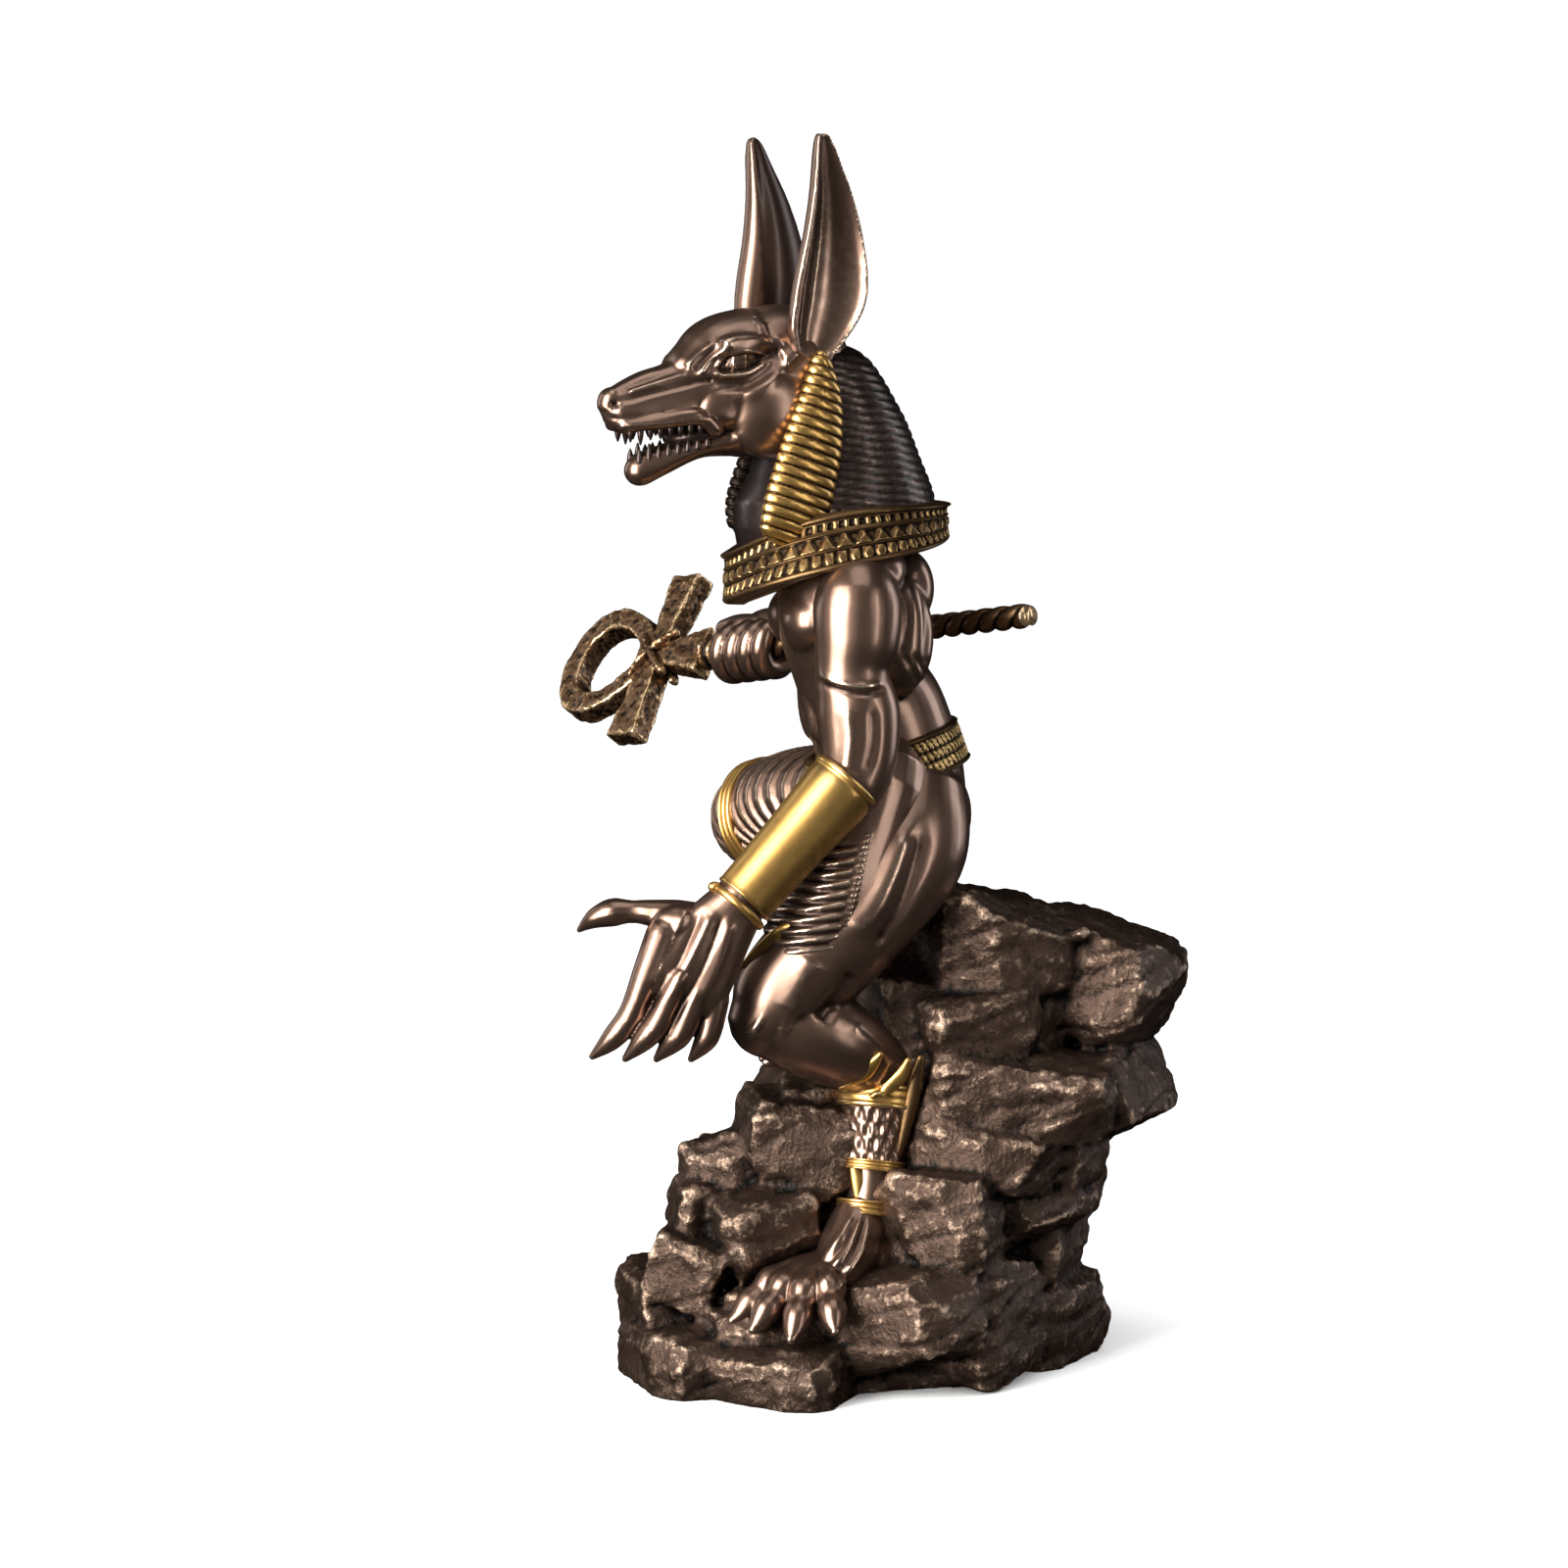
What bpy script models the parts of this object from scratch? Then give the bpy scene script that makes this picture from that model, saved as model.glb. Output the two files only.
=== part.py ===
# A jackal-headed figure that crouches on a pile of rocks, with an ankh on a twisted rod in its right fist.
# Metres, +Z up. The figure faces -Y, its left side is +X, and the base stands on z = 0.
import math

import bmesh
import bpy
import numpy as np
from mathutils import Matrix, Vector

# Overall size: from the underside of the rocks to the taller ear tip.
STATUE_HEIGHT = 0.280
# Pose and proportions are drawn in 280ths of that height.
SHARE = STATUE_HEIGHT / 280

# Rod and ankh
ROD_RADIUS = 0.0029
ROD_LENGTH = 0.1225
ROD_TURN = 0.0105
STRAND_DEPTH = 0.00042
ANKH_THICKNESS = 0.0060
ANKH_ARM = 0.0228
ANKH_STEM = 0.0175
ANKH_WAIST = 0.0054
ANKH_FLARE = 0.0098
LOOP_LENGTH = 0.0342
LOOP_HALF_WIDTH = 0.0164
LOOP_BAND = 0.0061
EDGE_BEVEL = 0.0006

# Fits between pieces
GRIP_CLEARANCE = 0.0003
SEAT_CLEARANCE = 0.0004

# Bracers, collar and belt
BRACER_WALL = 0.0010
COLLAR_WALL = 0.0016
BELT_WALL = 0.0012
BELT_WIDTH = 0.0095
KILT_WALL = 0.0013

# Mesh fineness
FIGURE_VOXEL = 0.72 * SHARE
ROCK_VOXEL = 1.1 * SHARE
FIGURE_TRIANGLES = 5600
ROCK_TRIANGLES = 1500

# Flat chips on each boulder
CHIPS = 9
CHIP_SEED = 7

# The head is turned to the figure's left, and the torso a little less.
HEAD_YAW = math.radians(27)
HEAD_CENTRE = (2, -15)
TORSO_YAW = math.radians(10)

# The rod's line through the fist: its rear end, and the way that it points.
ROD_REAR = (-2, 37.7, 171.3)
ROD_WAY = Vector((0.696, 0.704, 0.135)).normalized()
CROSSBAR_WAY = Vector((-0.470, 0.368, 0.802))
GRIP_FROM_REAR = 88.5

SIDEWAYS = (1, 0, 0)
UPWARDS = (0, 0, 1)


def at(x, y, z):
    return Vector((x, y, z)) * SHARE


def head_at(side, ahead, z):
    cos_yaw, sin_yaw = math.cos(HEAD_YAW), math.sin(HEAD_YAW)
    x = HEAD_CENTRE[0] + side * cos_yaw + ahead * sin_yaw
    y = HEAD_CENTRE[1] + side * sin_yaw - ahead * cos_yaw
    return at(x, y, z)


def torso_at(side, ahead, z):
    cos_yaw, sin_yaw = math.cos(TORSO_YAW), math.sin(TORSO_YAW)
    return at(side * cos_yaw + ahead * sin_yaw, side * sin_yaw - ahead * cos_yaw, z)


def smooth_rows(stations, steps):
    """Rows of numbers along a Catmull-Rom curve through the stations."""
    rows = []
    last = len(stations) - 1
    for i in range(last):
        before, start = stations[max(i - 1, 0)], stations[i]
        end, after = stations[i + 1], stations[min(i + 2, last)]
        for k in range(steps):
            t = k / steps
            row = []
            for p, q, r, s in zip(before, start, end, after):
                bend = 2 * p - 5 * q + 4 * r - s
                twist = 3 * q - p - 3 * r + s
                row.append(0.5 * (2 * q + (r - p) * t + bend * t * t + twist * t ** 3))
            rows.append(row)
    rows.append(list(stations[-1]))
    return rows


def skin(clay, rings, first_pole, last_pole):
    """Closed surface over rings of points, with a pole at each end."""
    loops = [[clay.verts.new(point) for point in ring] for ring in rings]
    count = len(loops[0])
    for lower, upper in zip(loops, loops[1:]):
        for i in range(count):
            j = (i + 1) % count
            clay.faces.new((lower[i], lower[j], upper[j], upper[i]))
    start, end = clay.verts.new(first_pole), clay.verts.new(last_pole)
    for i in range(count):
        j = (i + 1) % count
        clay.faces.new((start, loops[0][j], loops[0][i]))
        clay.faces.new((end, loops[-1][i], loops[-1][j]))


def sections_along(stations, place, across):
    """Centre, way, side, depth and the two half-widths at each station."""
    centres = [place(*row[:3]) for row in stations]
    across = Vector(across)
    last = len(stations) - 1
    sections = []
    for i, row in enumerate(stations):
        way = (centres[min(i + 1, last)] - centres[max(i - 1, 0)]).normalized()
        side = (across - way * across.dot(way)).normalized()
        sections.append((centres[i], way, side, way.cross(side), abs(row[3]) * SHARE, abs(row[4]) * SHARE))
    return sections


def dome(section, turn):
    """Two smaller sections that round off an end."""
    centre, way, side, deep, wide, thick = section
    steps = []
    for degrees in (35, 62):
        shrink, rise = math.cos(math.radians(degrees)), math.sin(math.radians(degrees))
        lifted = centre + way * min(wide, thick) * rise * turn
        steps.append((lifted, way, side, deep, wide * shrink, thick * shrink))
    return steps


def limb(clay, stations, place=at, across=SIDEWAYS, sides=20, steps=5, ribs=0, rib_depth=0.0, lean=0.0):
    """Round-ended tube. A station is x, y, z, half-width across, half-depth."""
    rings = sections_along(smooth_rows(stations, steps), place, across)
    first, last = rings[0], rings[-1]
    sections = dome(first, -1)[::-1] + rings + dome(last, 1)
    loops = []
    for k, (centre, way, side, deep, wide, thick) in enumerate(sections):
        share = k / (len(sections) - 1)
        loop = []
        for i in range(sides):
            angle = 2 * math.pi * i / sides
            swell = 1 + rib_depth * math.sin(2 * math.pi * ribs * share + lean * math.cos(angle))
            loop.append(centre + (side * wide * math.cos(angle) + deep * thick * math.sin(angle)) * swell)
        loops.append(loop)
    first_pole = first[0] - first[1] * min(first[4:])
    last_pole = last[0] + last[1] * min(last[4:])
    skin(clay, loops, first_pole, last_pole)


def turned(yaw, pitch, roll):
    turn = Matrix.Rotation(math.radians(yaw), 4, 'Z') @ Matrix.Rotation(math.radians(pitch), 4, 'X')
    return turn @ Matrix.Rotation(math.radians(roll), 4, 'Y')


def blob(clay, centre, radii, yaw=0.0, pitch=0.0, roll=0.0, round_off=3):
    """Ellipsoid at a point, with its radii in shares of the height and its turns in degrees."""
    size = Matrix.Diagonal((radii[0] * SHARE, radii[1] * SHARE, radii[2] * SHARE, 1))
    matrix = Matrix.Translation(centre) @ turned(yaw, pitch, roll) @ size
    bmesh.ops.create_icosphere(clay, subdivisions=round_off, radius=1, matrix=matrix)


def new_object(name, mesh, collection):
    piece = bpy.data.objects.new(name, mesh)
    collection.objects.link(piece)
    return piece


def object_from(clay, name, collection):
    bmesh.ops.recalc_face_normals(clay, faces=clay.faces)
    mesh = bpy.data.meshes.new(name)
    clay.to_mesh(mesh)
    clay.free()
    return new_object(name, mesh, collection)


def apply_modifiers(piece):
    """Replaces the object's mesh by the one that its modifiers give."""
    evaluated = piece.evaluated_get(bpy.context.evaluated_depsgraph_get())
    mesh = bpy.data.meshes.new_from_object(evaluated)
    old = piece.data
    piece.modifiers.clear()
    piece.data = mesh
    bpy.data.meshes.remove(old)


def fuse(piece, voxel, rounds, factor=0.5):
    """Joins overlapping forms into one even skin."""
    remesh = piece.modifiers.new("One skin", 'REMESH')
    remesh.mode = 'VOXEL'
    remesh.voxel_size = voxel
    relax = piece.modifiers.new("Even out", 'SMOOTH')
    relax.factor = factor
    relax.iterations = rounds
    apply_modifiers(piece)


def thin_out(piece, triangles):
    """Collapses the skin to about so many triangles."""
    triangulate = piece.modifiers.new("Triangles", 'TRIANGULATE')
    triangulate.quad_method = 'SHORTEST_DIAGONAL'
    apply_modifiers(piece)
    decimate = piece.modifiers.new("Fewer triangles", 'DECIMATE')
    decimate.ratio = min(1.0, triangles / len(piece.data.polygons))
    decimate.use_collapse_triangulate = True
    apply_modifiers(piece)


def combine(piece, cutter, operation, solver='EXACT'):
    boolean = piece.modifiers.new(operation.title(), 'BOOLEAN')
    boolean.operation = operation
    boolean.solver = solver
    boolean.object = cutter
    apply_modifiers(piece)


def clean(piece):
    """Welds what a cut left doubled, drops slivers and stray flakes, and turns faces out."""
    work = bmesh.new()
    work.from_mesh(piece.data)
    bmesh.ops.remove_doubles(work, verts=work.verts, dist=0.00002)
    bmesh.ops.dissolve_degenerate(work, edges=work.edges, dist=0.00002)
    bmesh.ops.triangulate(work, faces=work.faces)
    islands = []
    unseen = set(work.verts)
    while unseen:
        island = set()
        edge_of_island = [unseen.pop()]
        while edge_of_island:
            vert = edge_of_island.pop()
            island.add(vert)
            for edge in vert.link_edges:
                other = edge.other_vert(vert)
                if other in unseen:
                    unseen.discard(other)
                    edge_of_island.append(other)
        islands.append(island)
    islands.sort(key=len)
    for island in islands[:-1]:
        bmesh.ops.delete(work, geom=list(island), context='VERTS')
    bmesh.ops.recalc_face_normals(work, faces=work.faces)
    work.to_mesh(piece.data)
    work.free()


def finish(name, colour, roughness, metallic):
    material = bpy.data.materials.new(name)
    material.use_nodes = True
    shader = material.node_tree.nodes["Principled BSDF"]
    shader.inputs["Base Color"].default_value = (*colour, 1)
    shader.inputs["Roughness"].default_value = roughness
    shader.inputs["Metallic"].default_value = metallic
    return material


def add_torso(clay):
    limb(clay, [(0, -10, 108, 11, 10), (0, -10, 116, 16, 13), (0, -9.5, 126, 18.5, 14.5),
                (0, -6.5, 137, 17.5, 15.5), (0, -1, 148, 15, 13.5), (0, 1.5, 158, 16.5, 14),
                (0, 3, 168, 20.5, 16), (0, 3.5, 178, 21.5, 16), (0, 3.5, 186, 17, 14),
                (0, 4, 194, 11, 11), (0, 6, 206, 9.5, 10), (0, 7, 218, 9, 9.5)], place=torso_at, sides=28)
    for side in (-1, 1):
        blob(clay, torso_at(side * 8.5, 13.5, 171), (9.5, 7, 7.5), yaw=10)
        blob(clay, torso_at(side * 15, -5, 168), (7, 8, 14), yaw=10, roll=-side * 8)
        blob(clay, torso_at(side * 8, -8, 178), (8, 6.5, 9), yaw=10)
        blob(clay, torso_at(side * 3.4, 11.5, 155), (3.6, 3.2, 12), yaw=10)
        blob(clay, torso_at(side * 9.5, -13.4, 127), (10, 9.6, 12), yaw=10)
        blob(clay, torso_at(side * 19, 2, 183), (9, 8, 6.5), yaw=10, roll=side * 20)


def add_left_arm(clay):
    limb(clay, [(21, -1, 184, 8, 8), (25, -1.6, 177, 9.6, 9.8), (26.5, -2, 168, 9.4, 9.6),
                (27.2, -3, 160.5, 8, 8.1), (28, -1.6, 152, 8.6, 9.3), (29.5, -1.4, 143, 7.8, 8.6),
                (31, -2.6, 136, 7.2, 7.4)])
    limb(clay, [(31, -2.4, 137, 6.8, 6.8), (34.5, -16, 123.5, 6.6, 6.6), (38, -28, 110.6, 5.6, 5)])


def add_left_hand(clay):
    palm_side = (0, 0.83, -0.56)
    limb(clay, [(38, -27, 112, 6, 5.2), (39.5, -33.5, 103.5, 8.4, 5), (41.3, -39, 94.5, 9.8, 4.4),
                (41.5, -41.5, 90.5, 9.4, 3.8)], across=palm_side)
    fingers = [
        [(41, -43.5, 101, 3.6, 3.4), (41.5, -47.4, 95.5, 3.5, 3.3), (41.5, -51.3, 87, 3.2, 3),
         (41, -55.6, 81.2, 2.8, 2.6), (40, -60.1, 77, 0.9, 0.9)],
        [(43, -41.2, 95, 3.5, 3.3), (43.5, -45, 86, 3.3, 3), (43, -48.6, 81.3, 2.9, 2.6),
         (42, -52.8, 76.8, 0.9, 0.9)],
        [(42.5, -37.2, 92, 3.4, 3.2), (43, -40.2, 83.5, 3.2, 2.9), (42, -42.8, 80.2, 2.8, 2.5),
         (41, -46, 76.6, 0.9, 0.9)],
        [(40.5, -32.8, 90, 3.2, 3), (41, -34.4, 82.6, 3, 2.8), (40.5, -36, 79.6, 2.6, 2.3),
         (40, -38.4, 76.4, 0.9, 0.9)],
        [(38, -33, 106, 3.8, 4), (37.4, -41, 107, 3.6, 3.6), (36.6, -48.2, 108, 3.1, 3),
         (35.8, -54, 107.8, 3.3, 3), (34.8, -58.5, 106, 2.3, 2.1), (34, -62.5, 103.8, 0.8, 0.8)],
    ]
    for finger in fingers:
        limb(clay, finger, sides=10, steps=4)


def add_bracer(clay, elbow, wrist, elbow_radius, wrist_radius, place=at):
    """Smooth cuff on the forearm with a rolled rim at the elbow and a thin ring at the wrist."""
    start, end = Vector(elbow), Vector(wrist)
    wall = BRACER_WALL / SHARE
    stations = []
    for share, extra in ((0.0, 0.7), (0.035, 0.9), (0.08, 0.1), (0.5, -0.1), (0.93, 0.0), (1.0, -0.2)):
        radius = elbow_radius + (wrist_radius - elbow_radius) * share + extra + wall
        stations.append((*start.lerp(end, share), radius, radius))
    flat_tube(clay, stations, place)
    ring = []
    for share in (1.03, 1.06):
        ring.append((*start.lerp(end, share), wrist_radius + wall, wrist_radius + wall))
    flat_tube(clay, ring, place)


def flat_tube(clay, stations, place=at, across=SIDEWAYS, sides=28):
    """Tube with flat ends, straight between its stations."""
    sections = sections_along(stations, place, across)
    loops = []
    for centre, way, side, deep, wide, thick in sections:
        loop = []
        for k in range(sides):
            angle = 2 * math.pi * k / sides
            loop.append(centre + side * wide * math.cos(angle) + deep * thick * math.sin(angle))
        loops.append(loop)
    skin(clay, loops, sections[0][0], sections[-1][0])


def add_right_arm(clay):
    limb(clay, [(-17, -10, 183, 8, 8), (-22.5, -8.6, 182.5, 9, 9), (-30, -5, 181, 8.4, 8.6),
                (-38, 0, 179.5, 7.3, 7.3), (-46, 5.5, 178, 7.2, 7.3), (-53, 10, 176.2, 6.8, 6.6)],
         across=UPWARDS)
    limb(clay, [(-53.5, 10, 176, 6.3, 6.3), (-60, -1.5, 171.5, 6.2, 6.2), (-66.5, -12.5, 166, 5, 5.2),
                (-68, -18.5, 162.8, 5, 5)], across=UPWARDS)


def grip_point():
    return at(*ROD_REAR) - ROD_WAY * GRIP_FROM_REAR * SHARE


def rod_frame():
    """The rod's way, the crossbar's way and the ankh's face normal, square to each other."""
    way = ROD_WAY
    crossbar = (CROSSBAR_WAY - way * CROSSBAR_WAY.dot(way)).normalized()
    return way, crossbar, way.cross(crossbar)


def add_right_fist(clay):
    """Palm outside the rod, four fingers that curl under it, and the thumb on top."""
    way = ROD_WAY
    up = (Vector((0, 0, 1)) - way * way.z).normalized()
    inward = way.cross(up) * -1
    if inward.x < 0:
        inward = -inward
    grip = grip_point()
    finger = 2.9 * SHARE
    reach = ROD_RADIUS + GRIP_CLEARANCE + finger * 0.8
    palm = grip - inward * reach * 0.95 + up * reach * 0.35
    turn = Matrix((inward, way, up)).transposed().to_4x4()
    size = Matrix.Diagonal((5.2 * SHARE, 10.4 * SHARE, 7.6 * SHARE, 1))
    bmesh.ops.create_icosphere(clay, subdivisions=3, radius=1, matrix=Matrix.Translation(palm) @ turn @ size)
    for k in range(4):
        along = (k - 1.5) * 4.7 * SHARE
        stations = []
        for degrees, thick in ((200, 1.0), (250, 1.08), (300, 1.0), (350, 0.98), (35, 0.9), (75, 0.7)):
            angle = math.radians(degrees)
            drift = way * (along + 1.6 * SHARE * math.sin(angle))
            point = grip + drift + (inward * math.cos(angle) + up * math.sin(angle)) * reach
            radius = finger * thick / SHARE
            stations.append((*(point / SHARE), radius, radius))
        limb(clay, stations, across=tuple(way), sides=10, steps=3)
    thumb = []
    for degrees, along, thick in ((170, 4.0, 1.3), (130, -0.5, 1.25), (100, -5.5, 1.15), (85, -9.5, 0.85)):
        angle = math.radians(degrees)
        point = grip + way * along * SHARE + (inward * math.cos(angle) + up * math.sin(angle)) * reach
        thumb.append((*(point / SHARE), finger * thick / SHARE, finger * thick / SHARE))
    limb(clay, thumb, across=tuple(way), sides=10, steps=3)


def add_left_leg(clay):
    limb(clay, [(11, 10.5, 129, 12, 13.5), (15, 8.5, 120, 13.5, 14.6), (19.5, 1, 110, 13.6, 14),
                (23.5, -9, 98.5, 12, 12.8), (26, -18, 89, 10.6, 11.6), (26.5, -21.5, 83.5, 9.2, 9.2)])
    limb(clay, [(26.5, -20.4, 83, 8.8, 9), (25.5, -13, 80.6, 10, 10.6), (23.5, -5.5, 77, 9.4, 10),
                (20.5, 1.5, 72.4, 7.2, 8), (17.5, 6.5, 68, 5.8, 6), (16.5, 7, 62, 5, 5.4)])
    blob(clay, at(27.5, -24.8, 83.4), (6, 5, 5.6))
    limb(clay, [(16.5, 4, 66, 7, 8), (17, 3, 58, 6.2, 6.9), (18.6, 2.4, 50, 5.6, 5.8),
                (21, 1.5, 42, 5.2, 5.4), (22.8, 0.4, 37, 5.8, 5.8), (25.8, -2.6, 30.5, 8, 6.6),
                (29, -6, 25, 8.6, 5.4)])
    blob(clay, at(23, 2.6, 28.5), (6.4, 6.2, 7))


def add_right_leg(clay):
    limb(clay, [(-10, 8, 127, 11, 12), (-16, 5, 124.5, 13, 13.5), (-26, -4, 122.5, 13, 13),
                (-36, -15, 121.5, 11.5, 11.6), (-43, -22, 120.5, 9.6, 9.8)])
    limb(clay, [(-43, -21, 119.5, 8.8, 8.8), (-42, -10, 113, 9, 9), (-39.5, 3, 105.5, 8, 8.4),
                (-37, 14, 99, 5.6, 6), (-36, 21, 94.5, 4.6, 4.8)])
    limb(clay, [(-36, 21, 95, 5.4, 6), (-37, 16, 88, 4.8, 5), (-38.5, 9, 79, 4.5, 4.6),
                (-39.5, 4.5, 73.5, 5.6, 5.2), (-40.5, -2, 69, 7.6, 4.8)])


def add_foot(clay, ankle, toe_ways, length):
    """Four clawed toes from the ball of the foot: each has two joints and a claw."""
    ball = Vector(ankle)
    for way, drop in toe_ways:
        ahead = Vector((way[0], way[1], 0)).normalized()
        stations = []
        for share, radius, sink in ((0.0, 4.2, 0.0), (0.34, 3.5, 0.02), (0.5, 3.8, 0.12), (0.68, 3.1, 0.42),
                                    (0.84, 2.8, 0.72), (1.0, 0.9, 1.0)):
            point = ball + ahead * length * share
            stations.append((point.x, point.y, point.z - drop * sink, radius, radius))
        limb(clay, stations, across=(-ahead.y, ahead.x, 0), sides=10, steps=4)


def add_feet(clay):
    left_toes = [((0.42, -0.91), 9.5), ((0.72, -0.70), 10), ((0.95, -0.32), 11), ((1.0, 0.12), 9)]
    add_foot(clay, (28, -7, 26), left_toes, 22)
    right_toes = [((0.3, -0.95), 6), ((0.0, -1.0), 6), ((-0.35, -0.93), 6), ((-0.7, -0.7), 6)]
    add_foot(clay, (-40.5, -3, 69), right_toes, 20)


def add_greave(clay, ankle, hock):
    """Cuff under the hock, two bands above the foot and a strap to the heel."""
    low, high = Vector(ankle), Vector(hock)
    for share, width, radius in ((0.80, 0.22, 7.9), (0.24, 0.07, 6.1), (0.03, 0.10, 6.3)):
        start, end = low.lerp(high, share), low.lerp(high, share + width)
        middle = low.lerp(high, share + width / 2)
        flat_tube(clay, [(*start, radius - 0.5, radius), (*middle, radius, radius + 0.5),
                         (*end, radius, radius + 0.4)])


def add_head(clay):
    blob(clay, head_at(0, 5, 229), (12.4, 17, 12.6), yaw=27)
    limb(clay, [(0, 12, 228.5, 11, 12.5), (0, 19, 227.8, 10.7, 12.2), (0, 24, 225.2, 9.1, 10),
                (0, 29.5, 221.6, 7.5, 8), (0, 37, 220.4, 6, 6.9), (0, 43.4, 218.4, 4.8, 5.7)],
         place=head_at, across=head_side())
    blob(clay, head_at(0, 46.3, 219.6), (3.5, 3, 3.4), yaw=27)
    limb(clay, [(0, 10, 214, 8.8, 6.6), (0, 18, 212, 8.4, 4.4), (0, 26, 210, 7, 2.7),
                (0, 34, 207.6, 5.2, 2.8), (0, 39.5, 205.4, 3.8, 2.9)], place=head_at, across=head_side())
    for side in (-1, 1):
        blob(clay, head_at(side * 7.2, 9.5, 217.5), (6.6, 11.5, 10), yaw=27, pitch=12)
        limb(clay, [(side * 4.5, 28.6, 229.4, 1.4, 1.4), (side * 8.6, 25, 232.8, 2, 1.8),
                    (side * 11, 17, 234.6, 2.2, 2), (side * 12, 7.5, 233.4, 1.8, 1.6)],
             place=head_at, across=UPWARDS, sides=10, steps=4)
        blob(clay, head_at(side * 9.8, 20.6, 227.9), (2.4, 3.6, 2.2), yaw=27 + side * 14)
        limb(clay, [(side * 6.2, 29, 219, 2, 2), (side * 9.4, 22, 221.2, 2.6, 2.4),
                    (side * 12, 11, 224, 2.6, 2.6)], place=head_at, across=UPWARDS, sides=10, steps=4)
        limb(clay, [(side * 3.2, 44.4, 214.4, 1.6, 1.7), (side * 5.6, 37, 215, 1.7, 1.8),
                    (side * 8, 28, 216.2, 1.6, 1.8), (side * 8.8, 24.5, 213, 1.5, 1.6)],
             place=head_at, across=UPWARDS, sides=10, steps=4)
        for k in range(5):
            add_tooth(clay, side * (3.0 + 0.95 * k), 42.2 - 3.4 * k, 213.2 + 0.25 * k, -2.6 + 0.1 * k)
            add_tooth(clay, side * (2.4 + 0.95 * k), 40.2 - 3.2 * k, 207.6 + 0.7 * k, 2.5 - 0.1 * k)


def head_side():
    return (math.cos(HEAD_YAW), math.sin(HEAD_YAW), 0)


def add_tooth(clay, side, ahead, z, length):
    limb(clay, [(side, ahead, z - 0.3 * length, 0.9, 0.9), (side, ahead, z + 0.4 * length, 0.75, 0.75),
                (side, ahead, z + length, 0.35, 0.35)], place=head_at, across=head_side(), sides=8, steps=2)


def add_ear(clay, side):
    """Tall cupped ear: a crescent section that opens outward, from the skull up to a point."""
    rows = smooth_rows([(231, 7.4, -3.0, 13.0, 2.2), (236, 8.8, -7.0, 13.4, 3.0),
                        (241, 8.6, -9.6, 13.9, 3.6), (247, 7.8, -10.2, 14.4, 3.8),
                        (256, 6.0, -8.6, 15.0, 3.2), (265, 4.8, -5.6, 15.8, 2.2),
                        (273, 4.4, -2.0, 16.6, 1.2), (278.6, 4.2, 0.8, 17.0, 0.5)], 4)
    loops = []
    points = 9
    for z, front, back, out, cup in rows:
        outer, inner = [], []
        for k in range(points):
            share = k / (points - 1)
            ahead = front + (back - front) * share
            bulge = cup * math.sin(math.pi * min(1.0, share * 1.05)) ** 0.8
            edge = abs(math.cos(math.pi * share))
            thick = 0.75 + 1.1 * math.exp(-((share - 0.08) / 0.14) ** 2) * min(1.0, cup)
            if edge > 0.99:
                thick *= 0.5
            outer.append(head_at(side * (out - bulge - thick), ahead, z))
            inner.append(head_at(side * (out - bulge + thick), ahead, z))
        loops.append(outer + list(reversed(inner)))
    tip = head_at(side * 17, 2.5, 279.9 if side < 0 else 278.3)
    base = head_at(side * 12, 2.5, 229)
    skin(clay, loops, base, tip)


def add_headdress(clay):
    """Cloth over the skull that widens down to the collar, with a lappet in front of each shoulder."""
    limb(clay, [(0, -2.5, 229, 11, 6.6), (0, -5.6, 224, 14.2, 12.6), (0, -7.8, 215, 17, 16.6),
                (0, -9.4, 206, 19, 19.4), (0, -9.8, 197, 20.5, 23.4), (0, -9, 189, 21, 23)],
         place=head_at, across=head_side(), sides=32)
    for side, back in ((-1, 7.0), (1, 0.0)):
        limb(clay, [(side * 12.6, 0.8 - back, 229, 2.2, 2.4), (side * 14.6, 1.6 - back, 221, 2.8, 5),
                    (side * 15.6, 3.8 - back, 212, 3.4, 7), (side * 16.2, 6.2 - back, 204, 3.6, 7.9),
                    (side * 16.6, 8.8 - back, 196, 3.8, 8.2), (side * 16.6, 10.6 - back, 190, 3.6, 7.8)],
             place=head_at, across=head_side(), ribs=15, rib_depth=0.05, steps=12)


def add_collar(clay):
    """Broad ring that rests on the shoulders and dips in front, with a rolled rim above and below."""
    wall = COLLAR_WALL / SHARE
    slices = 56
    profile = ((0.0, -3.2), (0.0, 0.2), (0.10, 0.6), (0.22, 0.0), (0.55, 0.3), (0.80, 0.3), (0.90, 0.9),
               (1.0, 0.4), (1.04, -4.0))
    loops = []
    for share, grow in profile:
        loop = []
        for k in range(slices):
            angle = 2 * math.pi * k / slices
            front = (1 - math.cos(angle)) / 2
            top = 197 - 11.5 * front ** 3
            sideways = abs(math.sin(angle))
            bottom = 187 - 12.4 * front ** 2.7 - 2 * sideways
            upper = 24.2 - 0.4 * front - 2.0 * sideways
            lower = 24.4 - 1.8 * front + 3.8 * sideways
            radius = upper + (lower - upper) * min(share, 1.0) + grow + wall
            z = top + (bottom - top) * share
            x, y = radius * math.sin(angle), radius * math.cos(angle) - 6.5
            loop.append(at(x, y, z))
        loops.append(loop)
    skin(clay, loops, at(0, -6, 193), at(0, -6, 181))


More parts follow.
